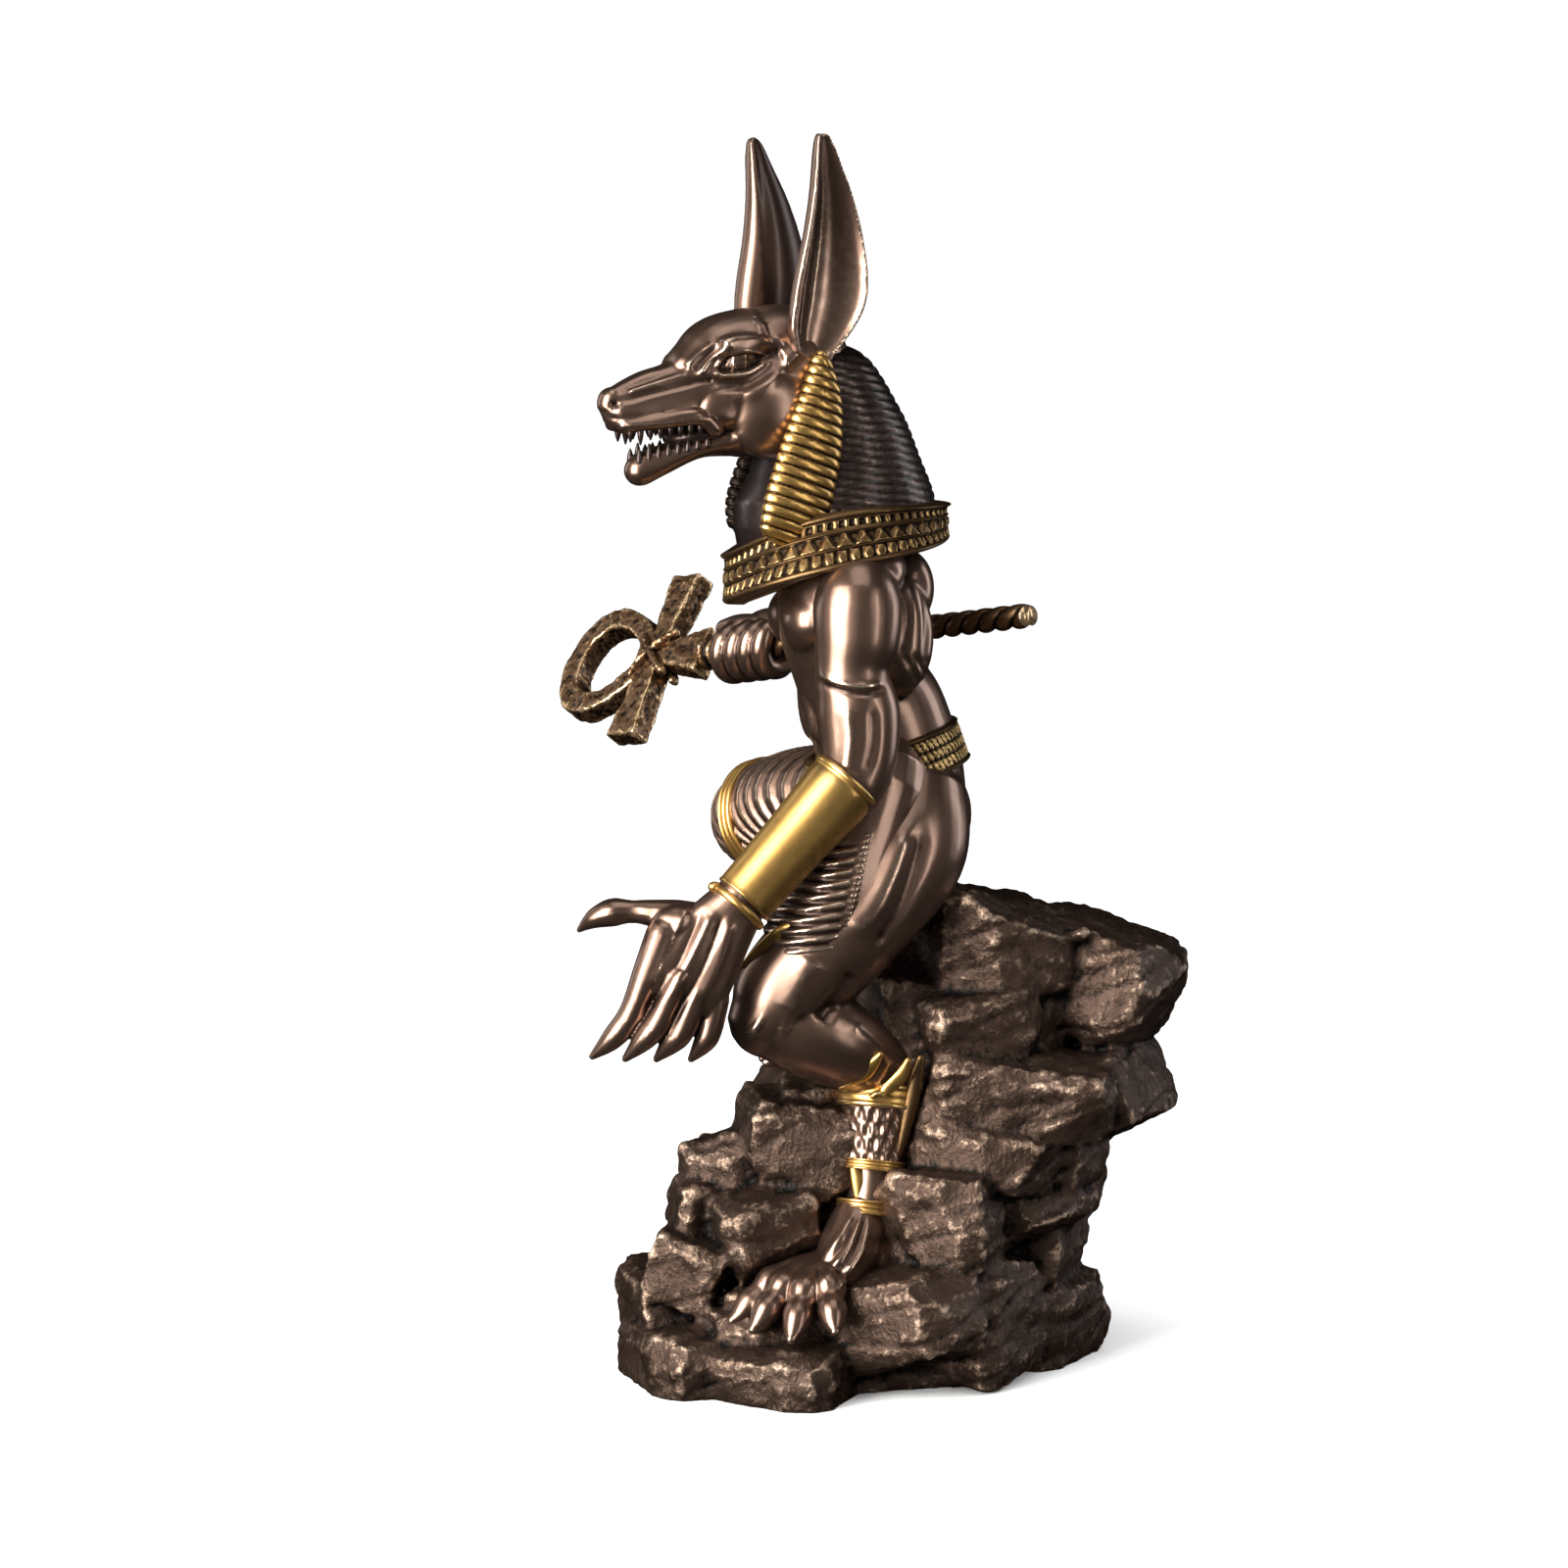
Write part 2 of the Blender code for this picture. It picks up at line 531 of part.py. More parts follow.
def add_belt(clay):
    wide = BELT_WIDTH / SHARE / 2
    wall = BELT_WALL / SHARE
    middle = Vector((0, 5.2, 140.6))
    tilt = Vector((0, -0.29, 0.957))
    stations = []
    for share, grow in ((-1.0, 0.6), (-0.8, 0.9), (0.0, 0.7), (0.8, 0.3), (1.0, 0.0)):
        point = middle + tilt * wide * share
        stations.append((*point, 17.4 + grow + wall, 15.6 + grow + wall))
    flat_tube(clay, stations, across=(math.cos(TORSO_YAW), math.sin(TORSO_YAW), 0), sides=32)


def add_kilt(clay):
    """Cloth over the front of both thighs and between them, with a rolled hem."""
    wall = KILT_WALL / SHARE
    left = [(13, 2, 134, 13, 12), (17, -2, 122, 13, 12.6), (20.5, -5.6, 111, 12.6, 11.4),
            (23.6, -12, 100, 11.2, 10)]
    limb(clay, [(*row[:3], row[3] + wall, row[4] + wall) for row in left], steps=6, ribs=9, rib_depth=0.022)
    right = [(-12, 3, 129, 13, 13.4), (-22, -3, 125.5, 13.4, 13.4), (-33, -13.6, 124, 12.6, 12.8),
             (-44, -23, 120.5, 11, 11.2)]
    limb(clay, [(*row[:3], row[3] + wall, row[4] + wall) for row in right], steps=8, across=UPWARDS,
         ribs=9, rib_depth=0.035, lean=0.9)
    limb(clay, [(0, -4, 136, 16, 7), (-3, -8.5, 124, 19, 6), (-6, -13, 112, 20, 4.4),
                (-9, -17, 103, 19, 2.6)])


def build_figure(collection):
    clay = bmesh.new()
    add_torso(clay)
    add_left_arm(clay)
    add_left_hand(clay)
    add_bracer(clay, (31.2, -4.0, 137.2), (37.8, -27.0, 111.4), 7.1, 5.9)
    add_right_arm(clay)
    add_bracer(clay, (-54.6, 8.0, 175.2), (-65, -10.0, 167.3), 6.6, 5.6)
    add_right_fist(clay)
    add_left_leg(clay)
    add_right_leg(clay)
    add_feet(clay)
    add_greave(clay, (22.2, 1.0, 38.5), (16.6, 3.6, 64))
    add_greave(clay, (-39.3, 6.0, 75.0), (-36.3, 19.5, 92))
    add_head(clay)
    for side in (-1, 1):
        add_ear(clay, side)
    add_headdress(clay)
    add_collar(clay)
    add_belt(clay)
    add_kilt(clay)
    figure = object_from(clay, "anubis_figure", collection)
    fuse(figure, FIGURE_VOXEL, 2)
    thin_out(figure, FIGURE_TRIANGLES)
    return figure


def teardrop(length, half_width, start, points):
    """Outline of the loop from its tip at the crossbar, in the ankh's own plane."""
    outline = []
    for k in range(points):
        angle = 2 * math.pi * k / points
        along = start + length * (1 - math.cos(angle)) / 2
        outline.append((along, 1.16 * half_width * math.sin(angle) * abs(math.sin(angle / 2)) ** 0.75))
    return outline


def add_outline(curve, points):
    spline = curve.splines.new('POLY')
    spline.points.add(len(points) - 1)
    for spot, (x, y) in zip(spline.points, points):
        spot.co = (x, y, 0, 1)
    spline.use_cyclic_u = True


def plate(name, outlines, thickness, collection):
    """Flat piece cut to its outlines, made a mesh with welded caps."""
    curve = bpy.data.curves.new(name, 'CURVE')
    curve.dimensions = '2D'
    curve.fill_mode = 'BOTH'
    curve.extrude = thickness / 2 - EDGE_BEVEL
    curve.bevel_depth = EDGE_BEVEL
    curve.offset = -EDGE_BEVEL
    curve.bevel_resolution = 0
    for outline in outlines:
        add_outline(curve, outline)
    source = new_object(name + "_outline", curve, collection)
    mesh = bpy.data.meshes.new_from_object(source.evaluated_get(bpy.context.evaluated_depsgraph_get()))
    bpy.data.objects.remove(source)
    work = bmesh.new()
    work.from_mesh(mesh)
    bmesh.ops.remove_doubles(work, verts=work.verts, dist=0.00005)
    bmesh.ops.recalc_face_normals(work, faces=work.faces)
    work.to_mesh(mesh)
    work.free()
    return new_object(name, mesh, collection)


def add_rod(clay, length, start):
    """Two strands twisted round each other, with a round end."""
    rings = 60
    sides = 8
    loops = []
    for k in range(rings):
        share = k / (rings - 1)
        z = start + (length - start) * share
        loop = []
        for i in range(sides):
            angle = 2 * math.pi * i / sides
            twist = 2 * math.pi * z / ROD_TURN
            radius = ROD_RADIUS - STRAND_DEPTH + STRAND_DEPTH * math.cos(2 * (angle - twist))
            loop.append(Vector((radius * math.cos(angle), radius * math.sin(angle), z)))
        loops.append(loop)
    for degrees in (40, 70):
        shrink = math.cos(math.radians(degrees))
        rise = ROD_RADIUS * math.sin(math.radians(degrees))
        loops.append([Vector((p.x * shrink, p.y * shrink, length + rise)) for p in loops[rings - 1]])
    skin(clay, loops, Vector((0, 0, start)), Vector((0, 0, length + ROD_RADIUS)))


def build_staff(collection, cutters):
    """The ankh lies in the plane of the rod and the crossbar; x runs toward its loop."""
    waist, flare = ANKH_WAIST / 2, ANKH_FLARE / 2
    loop_start = -waist
    cross = [(-ANKH_STEM, -flare), (-waist, -waist), (-flare, -ANKH_ARM), (flare, -ANKH_ARM), (waist, -waist),
             (waist * 2.2, -waist), (waist * 2.2, waist),
             (waist, waist), (flare, ANKH_ARM), (-flare, ANKH_ARM), (-waist, waist), (-ANKH_STEM, flare)]
    outer = teardrop(LOOP_LENGTH, LOOP_HALF_WIDTH, loop_start, 28)
    inner_start = loop_start + 1.15 * LOOP_BAND
    inner = teardrop(LOOP_LENGTH - 2.1 * LOOP_BAND, LOOP_HALF_WIDTH - LOOP_BAND, inner_start, 20)
    staff = plate("ankh_staff", [cross], ANKH_THICKNESS, collection)
    loop = plate("Loop", [outer, inner], ANKH_THICKNESS, cutters)
    clay = bmesh.new()
    add_rod(clay, ROD_LENGTH, 0.75 * ANKH_WAIST)
    rod = object_from(clay, "Rod", cutters)
    rod.rotation_euler = (0, -math.pi / 2, 0)
    bpy.context.view_layer.update()
    for extra in (loop, rod):
        combine(staff, extra, 'UNION')
        extra.hide_render = True
        extra.display_type = 'WIRE'
    way, crossbar, normal = rod_frame()
    turn = Matrix((-way, crossbar, (-way).cross(crossbar))).transposed().to_4x4()
    centre = at(*ROD_REAR) - way * ROD_LENGTH
    staff.data.transform(Matrix.Translation(centre) @ turn)
    clean(staff)
    return staff


def fist_bore(cutters):
    """Round bore for the rod, through the fist only."""
    reach = 0.030
    bpy.ops.mesh.primitive_cylinder_add(vertices=20, radius=ROD_RADIUS + GRIP_CLEARANCE, depth=reach)
    bore = bpy.context.object
    bore.name = "Fist bore"
    for owner in list(bore.users_collection):
        owner.objects.unlink(bore)
    cutters.objects.link(bore)
    along_rod = ROD_WAY.to_track_quat('Z', 'Y').to_matrix().to_4x4()
    bore.matrix_world = Matrix.Translation(grip_point()) @ along_rod
    bore.hide_render = True
    bore.display_type = 'WIRE'
    bpy.context.view_layer.update()
    return bore


def chip(work, chance):
    """Cuts the block flat in places, each a little inside its reach that way."""
    for _ in range(CHIPS):
        way = Vector(chance.normal(size=3)).normalized()
        reach = max(vert.co.dot(way) for vert in work.verts)
        spot = way * reach * chance.uniform(0.82, 0.95)
        everything = work.verts[:] + work.edges[:] + work.faces[:]
        cut = bmesh.ops.bisect_plane(work, geom=everything, plane_co=spot, plane_no=way, clear_outer=True)
        rim = [piece for piece in cut["geom_cut"] if isinstance(piece, bmesh.types.BMEdge)]
        bmesh.ops.holes_fill(work, edges=rim)


def add_boulder(clay, chance, centre, half, yaw=0.0, pitch=0.0, roll=0.0):
    """Block with worn corners and chipped faces: a cube whose corners are pulled in by uneven amounts."""
    work = bmesh.new()
    bmesh.ops.create_cube(work, size=2)
    bmesh.ops.bevel(work, geom=work.edges[:], offset=0.42, segments=2, profile=0.6, affect='EDGES')
    unlike = centre[0] * 0.31 + centre[1] * 0.17 + centre[2] * 0.23
    for vert in work.verts:
        x, y, z = vert.co
        pull = 1 + 0.10 * math.sin(2.3 * x + unlike) + 0.10 * math.sin(2.9 * y - 1.7 * unlike)
        vert.co = Vector((x * half[0], y * half[1], z * half[2])) * pull
    chip(work, chance)
    mesh = bpy.data.meshes.new("Boulder")
    work.to_mesh(mesh)
    work.free()
    mesh.transform(Matrix.Translation(at(*centre)) @ turned(yaw, pitch, roll) @ Matrix.Scale(SHARE, 4))
    clay.from_mesh(mesh)
    bpy.data.meshes.remove(mesh)


def add_rocks(clay):
    chance = np.random.default_rng(CHIP_SEED)
    # Ground layer
    add_boulder(clay, chance, (-8, -4, 7), (40, 42, 12), yaw=8)
    add_boulder(clay, chance, (-24, 24, 9), (26, 26, 14), yaw=20)
    add_boulder(clay, chance, (33, -22, 4), (15, 19, 9), yaw=-24, roll=10)
    add_boulder(clay, chance, (20, -37, 5), (21, 14, 8.5), yaw=22, pitch=4)
    add_boulder(clay, chance, (8, -43, 12), (18, 10, 11), yaw=14, pitch=8)
    add_boulder(clay, chance, (36, 7, 17), (10, 17, 11), yaw=-34, pitch=16)
    add_boulder(clay, chance, (16, 24, 14), (15, 15, 14), yaw=-42, pitch=4)
    add_boulder(clay, chance, (-6, 39, 10), (18, 16, 11), yaw=-35, pitch=-8)
    add_boulder(clay, chance, (-2, 36.5, 25), (14, 13, 9), yaw=-20, pitch=6)
    # Steps under the hand and knee
    add_boulder(clay, chance, (17, -38, 25), (13, 9, 8.5), yaw=-12, pitch=-18)
    add_boulder(clay, chance, (10, -35.5, 36.5), (11, 8.5, 6.5), yaw=12, pitch=-10)
    add_boulder(clay, chance, (17, -22, 35), (16, 14, 10), yaw=10, pitch=12)
    add_boulder(clay, chance, (6, -31, 47), (13, 9, 7), yaw=-15, pitch=8)
    add_boulder(clay, chance, (6, -16, 52.5), (17, 13.5, 10.5), yaw=8, pitch=-14)
    # Core and the ledge under the far foot
    add_boulder(clay, chance, (-14, 6, 36), (30, 26, 29))
    add_boulder(clay, chance, (-34, -3, 35), (20, 21, 27), yaw=6)
    add_boulder(clay, chance, (-10, 22, 66), (30, 24, 26), yaw=12)
    # Slabs behind the figure
    add_boulder(clay, chance, (-8, 29, 96), (25, 16, 13), yaw=10, pitch=-2)
    add_boulder(clay, chance, (-14, 55, 88), (24, 21, 12.5), yaw=-14, pitch=-22)
    add_boulder(clay, chance, (14, 26, 80), (12, 13, 8), yaw=16, pitch=10)
    add_boulder(clay, chance, (8, 38, 66), (20, 22, 9), yaw=-14, pitch=-6, roll=6)
    add_boulder(clay, chance, (0, 54.5, 61), (16, 12, 9.5), yaw=-24, pitch=26)
    add_boulder(clay, chance, (15, 28, 52), (18, 19, 8), yaw=-20, pitch=-12)
    add_boulder(clay, chance, (6, 44, 49), (13, 10, 7), yaw=-30, pitch=-6)
    add_boulder(clay, chance, (20, 17, 38), (15, 17, 12), yaw=-24, pitch=4)
    add_boulder(clay, chance, (8, 32, 34), (12, 17, 8), yaw=-34, pitch=34)
    # Far side
    add_boulder(clay, chance, (-36, 32, 76), (16, 22, 18), yaw=20)
    add_boulder(clay, chance, (-34, 32, 44), (20, 24, 20), yaw=-10, pitch=8)
    add_boulder(clay, chance, (-44, 4, 18), (12, 28, 17), yaw=12)


def block(name, low, high, collection):
    """Box between two corners, given in shares of the height."""
    clay = bmesh.new()
    bmesh.ops.create_cube(clay, size=1)
    start, end = at(*low), at(*high)
    for vert in clay.verts:
        for axis in range(3):
            vert.co[axis] = (start[axis] + end[axis]) / 2 + vert.co[axis] * (end[axis] - start[axis])
    return object_from(clay, name, collection)


def seat_cutter(figure, cutters):
    """The figure grown by the seat clearance, to be taken out of the rocks."""
    cutter = new_object("Seats", figure.data.copy(), cutters)
    grow = cutter.modifiers.new("Clearance", 'DISPLACE')
    grow.strength = SEAT_CLEARANCE
    grow.mid_level = 0
    apply_modifiers(cutter)
    return cutter


def build_rocks(figure, collection, cutters):
    clay = bmesh.new()
    add_rocks(clay)
    rocks = object_from(clay, "rock_base", collection)
    fuse(rocks, ROCK_VOXEL, 1)
    thin_out(rocks, ROCK_TRIANGLES)
    ground = block("Ground", (-90, -90, -60), (90, 90, 0), cutters)
    combine(rocks, ground, 'DIFFERENCE', 'MANIFOLD')
    seats = seat_cutter(figure, cutters)
    combine(rocks, seats, 'DIFFERENCE', 'MANIFOLD')
    for cutter in (ground, seats):
        cutter.hide_render = True
        cutter.display_type = 'WIRE'
    clean(rocks)
    return rocks


def main():
    for old in list(bpy.data.objects):
        bpy.data.objects.remove(old)
    collection = bpy.data.collections.new("Anubis statue")
    cutters = bpy.data.collections.new("Cutters")
    bpy.context.scene.collection.children.link(collection)
    bpy.context.scene.collection.children.link(cutters)
    figure = build_figure(collection)
    staff = build_staff(collection, cutters)
    combine(figure, fist_bore(cutters), 'DIFFERENCE')
    clean(figure)
    rocks = build_rocks(figure, collection, cutters)
    figure.data.materials.append(finish("bronze", (0.30, 0.20, 0.15), 0.36, 0.9))
    staff.data.materials.append(finish("aged_gold", (0.33, 0.21, 0.10), 0.42, 0.9))
    rocks.data.materials.append(finish("dark_stone", (0.09, 0.06, 0.045), 0.5, 0.6))


main()
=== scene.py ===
import math

import bmesh
import bpy
import numpy as np
from mathutils import Matrix, Vector, noise


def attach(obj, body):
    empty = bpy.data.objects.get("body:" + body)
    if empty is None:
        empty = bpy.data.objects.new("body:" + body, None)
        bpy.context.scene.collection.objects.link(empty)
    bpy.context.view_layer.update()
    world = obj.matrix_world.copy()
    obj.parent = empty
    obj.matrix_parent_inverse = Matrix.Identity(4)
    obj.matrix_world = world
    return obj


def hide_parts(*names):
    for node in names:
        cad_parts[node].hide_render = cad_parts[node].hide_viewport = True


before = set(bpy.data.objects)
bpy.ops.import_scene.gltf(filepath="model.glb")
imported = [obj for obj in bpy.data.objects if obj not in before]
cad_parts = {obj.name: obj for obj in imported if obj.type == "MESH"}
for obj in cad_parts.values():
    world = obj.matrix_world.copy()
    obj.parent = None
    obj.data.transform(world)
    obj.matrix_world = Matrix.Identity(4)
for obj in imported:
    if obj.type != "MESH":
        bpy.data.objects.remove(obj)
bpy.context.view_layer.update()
mm = 0.001
print("frame loaded")

# Pose: all sizes below are in millimetres, in the same frame as the solids
pose = {
    "headYaw": 27, "headCentre": (2, -15), "torsoYaw": 10,
    # rear end of the rod, the way it points to the rear, the way of the ankh's arms, and where the fist grips
    "rodRear": (-2, 37.7, 171.3), "rodWay": (0.696, 0.704, 0.135), "armWay": (-0.470, 0.368, 0.802),
    "grip": 88.5,
}


def pt(x, y, z):
    return Vector((x, y, z))


def turnedPt(yaw, centre, side, ahead, z):
    c, s = math.cos(math.radians(yaw)), math.sin(math.radians(yaw))
    return Vector((centre[0] + side * c + ahead * s, centre[1] + side * s - ahead * c, z))


def headPt(side, ahead, z):
    return turnedPt(pose["headYaw"], pose["headCentre"], side, ahead, z)


def torsoPt(side, ahead, z):
    return turnedPt(pose["torsoYaw"], (0, 0), side, ahead, z)


def headLocal(co):
    # side, ahead and height of points, seen from the head
    c, s = math.cos(math.radians(pose["headYaw"])), math.sin(math.radians(pose["headYaw"]))
    x, y = co[:, 0] - pose["headCentre"][0], co[:, 1] - pose["headCentre"][1]
    return x * c + y * s, x * s - y * c, co[:, 2]


headSide = headPt(1, 0, 0) - headPt(0, 0, 0)
torsoSide = torsoPt(1, 0, 0) - torsoPt(0, 0, 0)
rodRear = pt(*pose["rodRear"])
rodWay = Vector(pose["rodWay"]).normalized()
crossWay = Vector(pose["armWay"])
crossWay = (crossWay - rodWay * crossWay.dot(rodWay)).normalized()  # square to the rod
gripPt = rodRear - rodWay * pose["grip"]


# Modelling kit

def flowRows(stations, steps):
    # a smooth run of rows through the stations
    knots = np.array([stations[0], *stations, stations[-1]], float)
    t = (np.arange(steps) / steps)[:, None]
    rows = []
    for p, q, r, s in zip(knots, knots[1:], knots[2:], knots[3:]):
        bend = (2 * p - 5 * q + 4 * r - s) * t ** 2
        rows.append(0.5 * (2 * q + (r - p) * t + bend + (3 * q - p - 3 * r + s) * t ** 3))
    return np.vstack(rows + [knots[-1:]])


def closeTube(clay, loops, firstPole, lastPole):
    rings = [[clay.verts.new(p) for p in loop] for loop in loops]
    count = len(rings[0])
    for low, high in zip(rings, rings[1:]):
        for i in range(count):
            j = (i + 1) % count
            clay.faces.new((low[i], low[j], high[j], high[i]))
    first, last = clay.verts.new(firstPole), clay.verts.new(lastPole)
    for i in range(count):
        j = (i + 1) % count
        clay.faces.new((first, rings[0][j], rings[0][i]))
        clay.faces.new((last, rings[-1][i], rings[-1][j]))


def tube(clay, stations, place=pt, across=(1, 0, 0), sides=28, steps=6):
    # round-ended limb: a station is x, y, z, half-width across, half-depth
    rows = flowRows(stations, steps)
    centres = [place(*row[:3]) for row in rows]
    across = Vector(across)
    rings = []
    for i, row in enumerate(rows):
        way = (centres[min(i + 1, len(rows) - 1)] - centres[max(i - 1, 0)]).normalized()
        side = (across - way * across.dot(way)).normalized()
        rings.append([centres[i], way, side, way.cross(side), abs(row[3]), abs(row[4])])
    ends = []
    for ring, turn in ((rings[0], -1), (rings[-1], 1)):
        cap = []
        for degrees in (30, 55, 75):  # up the round end
            a = math.radians(degrees)
            reach = min(ring[4], ring[5]) * math.sin(a) * turn
            cap.append([ring[0] + ring[1] * reach, *ring[1:4], ring[4] * math.cos(a), ring[5] * math.cos(a)])
        ends.append(cap)
    angles = [2 * math.pi * i / sides for i in range(sides)]
    loops = []
    for centre, way, side, deep, wide, thick in ends[0][::-1] + rings + ends[1]:
        loops.append([(centre + side * wide * math.cos(a) + deep * thick * math.sin(a)) * mm for a in angles])
    first, last = rings[0], rings[-1]
    firstPole = (first[0] - first[1] * min(first[4:])) * mm
    lastPole = (last[0] + last[1] * min(last[4:])) * mm
    closeTube(clay, loops, firstPole, lastPole)


def turnBy(yaw, pitch, roll):
    turn = Matrix.Rotation(math.radians(yaw), 4, 'Z') @ Matrix.Rotation(math.radians(pitch), 4, 'X')
    return turn @ Matrix.Rotation(math.radians(roll), 4, 'Y')


def roundForm(clay, centre, radii, turn):
    size = Matrix.Diagonal((radii[0] * mm, radii[1] * mm, radii[2] * mm, 1))
    place = Matrix.Translation(centre * mm) @ turn @ size
    bmesh.ops.create_icosphere(clay, subdivisions=4, radius=1, matrix=place)


def lump(clay, centre, radii, yaw=0.0, pitch=0.0, roll=0.0):
    roundForm(clay, centre, radii, turnBy(yaw, pitch, roll))


def bakedMesh(piece):
    return bpy.data.meshes.new_from_object(piece.evaluated_get(bpy.context.evaluated_depsgraph_get()))


def applyModifiers(piece):
    mesh = bakedMesh(piece)
    old = piece.data
    piece.modifiers.clear()
    piece.data = mesh
    bpy.data.meshes.remove(old)


def makePiece(name, data):
    piece = bpy.data.objects.new(name, data)
    bpy.context.scene.collection.objects.link(piece)
    return piece


def fromClay(name, clay):
    bmesh.ops.recalc_face_normals(clay, faces=clay.faces)
    mesh = bpy.data.meshes.new(name)
    clay.to_mesh(mesh)
    clay.free()
    return makePiece(name, mesh)


def oneSkin(piece, voxel, rounds):
    # joins the overlapping forms into one even skin, softened by so many rounds
    remesh = piece.modifiers.new("skin", 'REMESH')
    remesh.mode = 'VOXEL'
    remesh.voxel_size = voxel * mm
    relax = piece.modifiers.new("relax", 'SMOOTH')
    relax.factor = 0.5
    relax.iterations = rounds
    applyModifiers(piece)
    return piece


def gridPiece(name, points):
    # points: rows x columns x 3; the rows close round on themselves, and both ends are capped
    rows, cols = points.shape[:2]
    index = np.arange(rows * cols).reshape(rows, cols)
    low, high = index[:-1], index[1:]
    quads = np.stack([low, np.roll(low, -1, 1), np.roll(high, -1, 1), high], -1).reshape(-1, 4)
    faces = quads.tolist()
    faces.append(index[0][::-1].tolist())
    faces.append(index[-1].tolist())
    mesh = bpy.data.meshes.new(name)
    mesh.from_pydata((points.reshape(-1, 3) * mm).tolist(), [], faces)
    mesh.validate()
    work = bmesh.new()
    work.from_mesh(mesh)
    caps = [f for f in work.faces if len(f.verts) > 4]
    bmesh.ops.triangulate(work, faces=caps)
    bmesh.ops.recalc_face_normals(work, faces=work.faces)
    work.to_mesh(mesh)
    work.free()
    return makePiece(name, mesh)


def coords(mesh):
    co = np.empty(len(mesh.vertices) * 3, np.float32)
    mesh.vertices.foreach_get("co", co)
    return co.reshape(-1, 3).astype(float)


def normals(mesh):
    no = np.empty(len(mesh.vertices) * 3, np.float32)
    mesh.vertex_normals.foreach_get("vector", no)
    return no.reshape(-1, 3).astype(float)


def setCoords(mesh, co):
    mesh.vertices.foreach_set("co", co.astype(np.float32).ravel())


def pressRelief(piece, height):
    # moves the skin along its normals by the height that the function gives, in mm
    co, no = coords(piece.data) / mm, normals(piece.data)
    co += no * height(co, no)[:, None]
    setCoords(piece.data, co * mm)
    piece.data.update()


# rows a stretch, reach in mm, and how a stroke fades towards its ends
strokeForm = {"rows": 36, "reach": 6, "taper": 6, "end": 0.35}


def nearPath(spots, path):
    # distance of each spot from a smooth path, and how far along the path it lies
    line = flowRows(path, strokeForm["rows"])
    low, high = line.min(0) - strokeForm["reach"], line.max(0) + strokeForm["reach"]
    close = np.all((spots > low) & (spots < high), axis=1)
    dist = np.full(len(spots), np.inf)
    share = np.zeros(len(spots))
    if close.any():
        gaps = np.linalg.norm(spots[close][:, None, :] - line[None], axis=2)
        dist[close] = gaps.min(1)
        share[close] = gaps.argmin(1) / (len(line) - 1)
    return dist, share


def strokeHeight(spots, strokes):
    # sum of soft ridges and grooves: a stroke is (path, width, height)
    total = np.zeros(len(spots))
    for path, width, height in strokes:
        dist, share = nearPath(spots, path)
        fade = np.clip(np.minimum(share, 1 - share) * strokeForm["taper"] + strokeForm["end"], 0, 1)
        total += height * np.exp(-(dist / width) ** 2) * fade
    return total


def carvedLines(form):
    # the lines of a form with the first coordinate squeezed, so that they are told apart in the side view
    shrink = np.array((form["flatten"], 1, 1))
    return [([np.array(spot) * shrink for spot in path], width, rise) for path, width, rise in form["lines"]]


def sideRelief(form):
    lines = carvedLines(form)
    return lambda co, no: strokeHeight(co * (form["flatten"], 1, 1), lines)


def seamGap(height, pitch):
    # distance to the nearest of the seams, which repeat at the pitch
    phase = height / pitch
    return np.abs(phase - np.round(phase)) * pitch


# wear of even skin, and the painted shade: how much darker it is where it faces down by more than the level
wearAndShadeForm = {"even": 0.5, "under": 0.22, "level": 0.15}


def wearAndLightMap(piece, reach, strength, paintedLight=None):
    # more on edges and less in hollows, with painted shade under downward faces and any painted light passed
    # in, kept as an attribute for the finishes
    mesh = piece.data
    co, no = coords(mesh) / mm, normals(mesh)
    edges = np.empty(len(mesh.edges) * 2, np.int32)
    mesh.edges.foreach_get("vertices", edges)
    a, b = edges.reshape(-1, 2).T
    valence = np.bincount(a, minlength=len(co)) + np.bincount(b, minlength=len(co))
    valence = np.maximum(valence, 1)[:, None]
    soft = co.copy()
    total = np.zeros(len(co))
    for step in range(reach):
        gather = np.empty_like(soft)
        for axis in range(3):
            gather[:, axis] = np.bincount(a, soft[b, axis], len(co)) + np.bincount(b, soft[a, axis], len(co))
        soft = gather / valence
        if step in (1, reach - 1):
            total += np.einsum('ij,ij->i', co - soft, no)
    wearAndPaintedLight = wearAndShadeForm["even"] + (total - np.median(total)) * strength
    # painted shade where the skin faces down
    wearAndPaintedLight = wearAndPaintedLight - wearAndShadeForm["under"] * np.clip(-no[:, 2] - wearAndShadeForm["level"], 0, 1)
    # painted light that the piece passes in: painted highlights and painted shade
    if paintedLight:
        wearAndPaintedLight += paintedLight(co, no)
    wearAndPaintedLight = np.clip(wearAndPaintedLight, 0, 1)
    attribute = mesh.attributes.new("wearAndPaintedLight", 'FLOAT', 'POINT')
    attribute.data.foreach_set("value", wearAndPaintedLight.astype(np.float32))


# Finishes

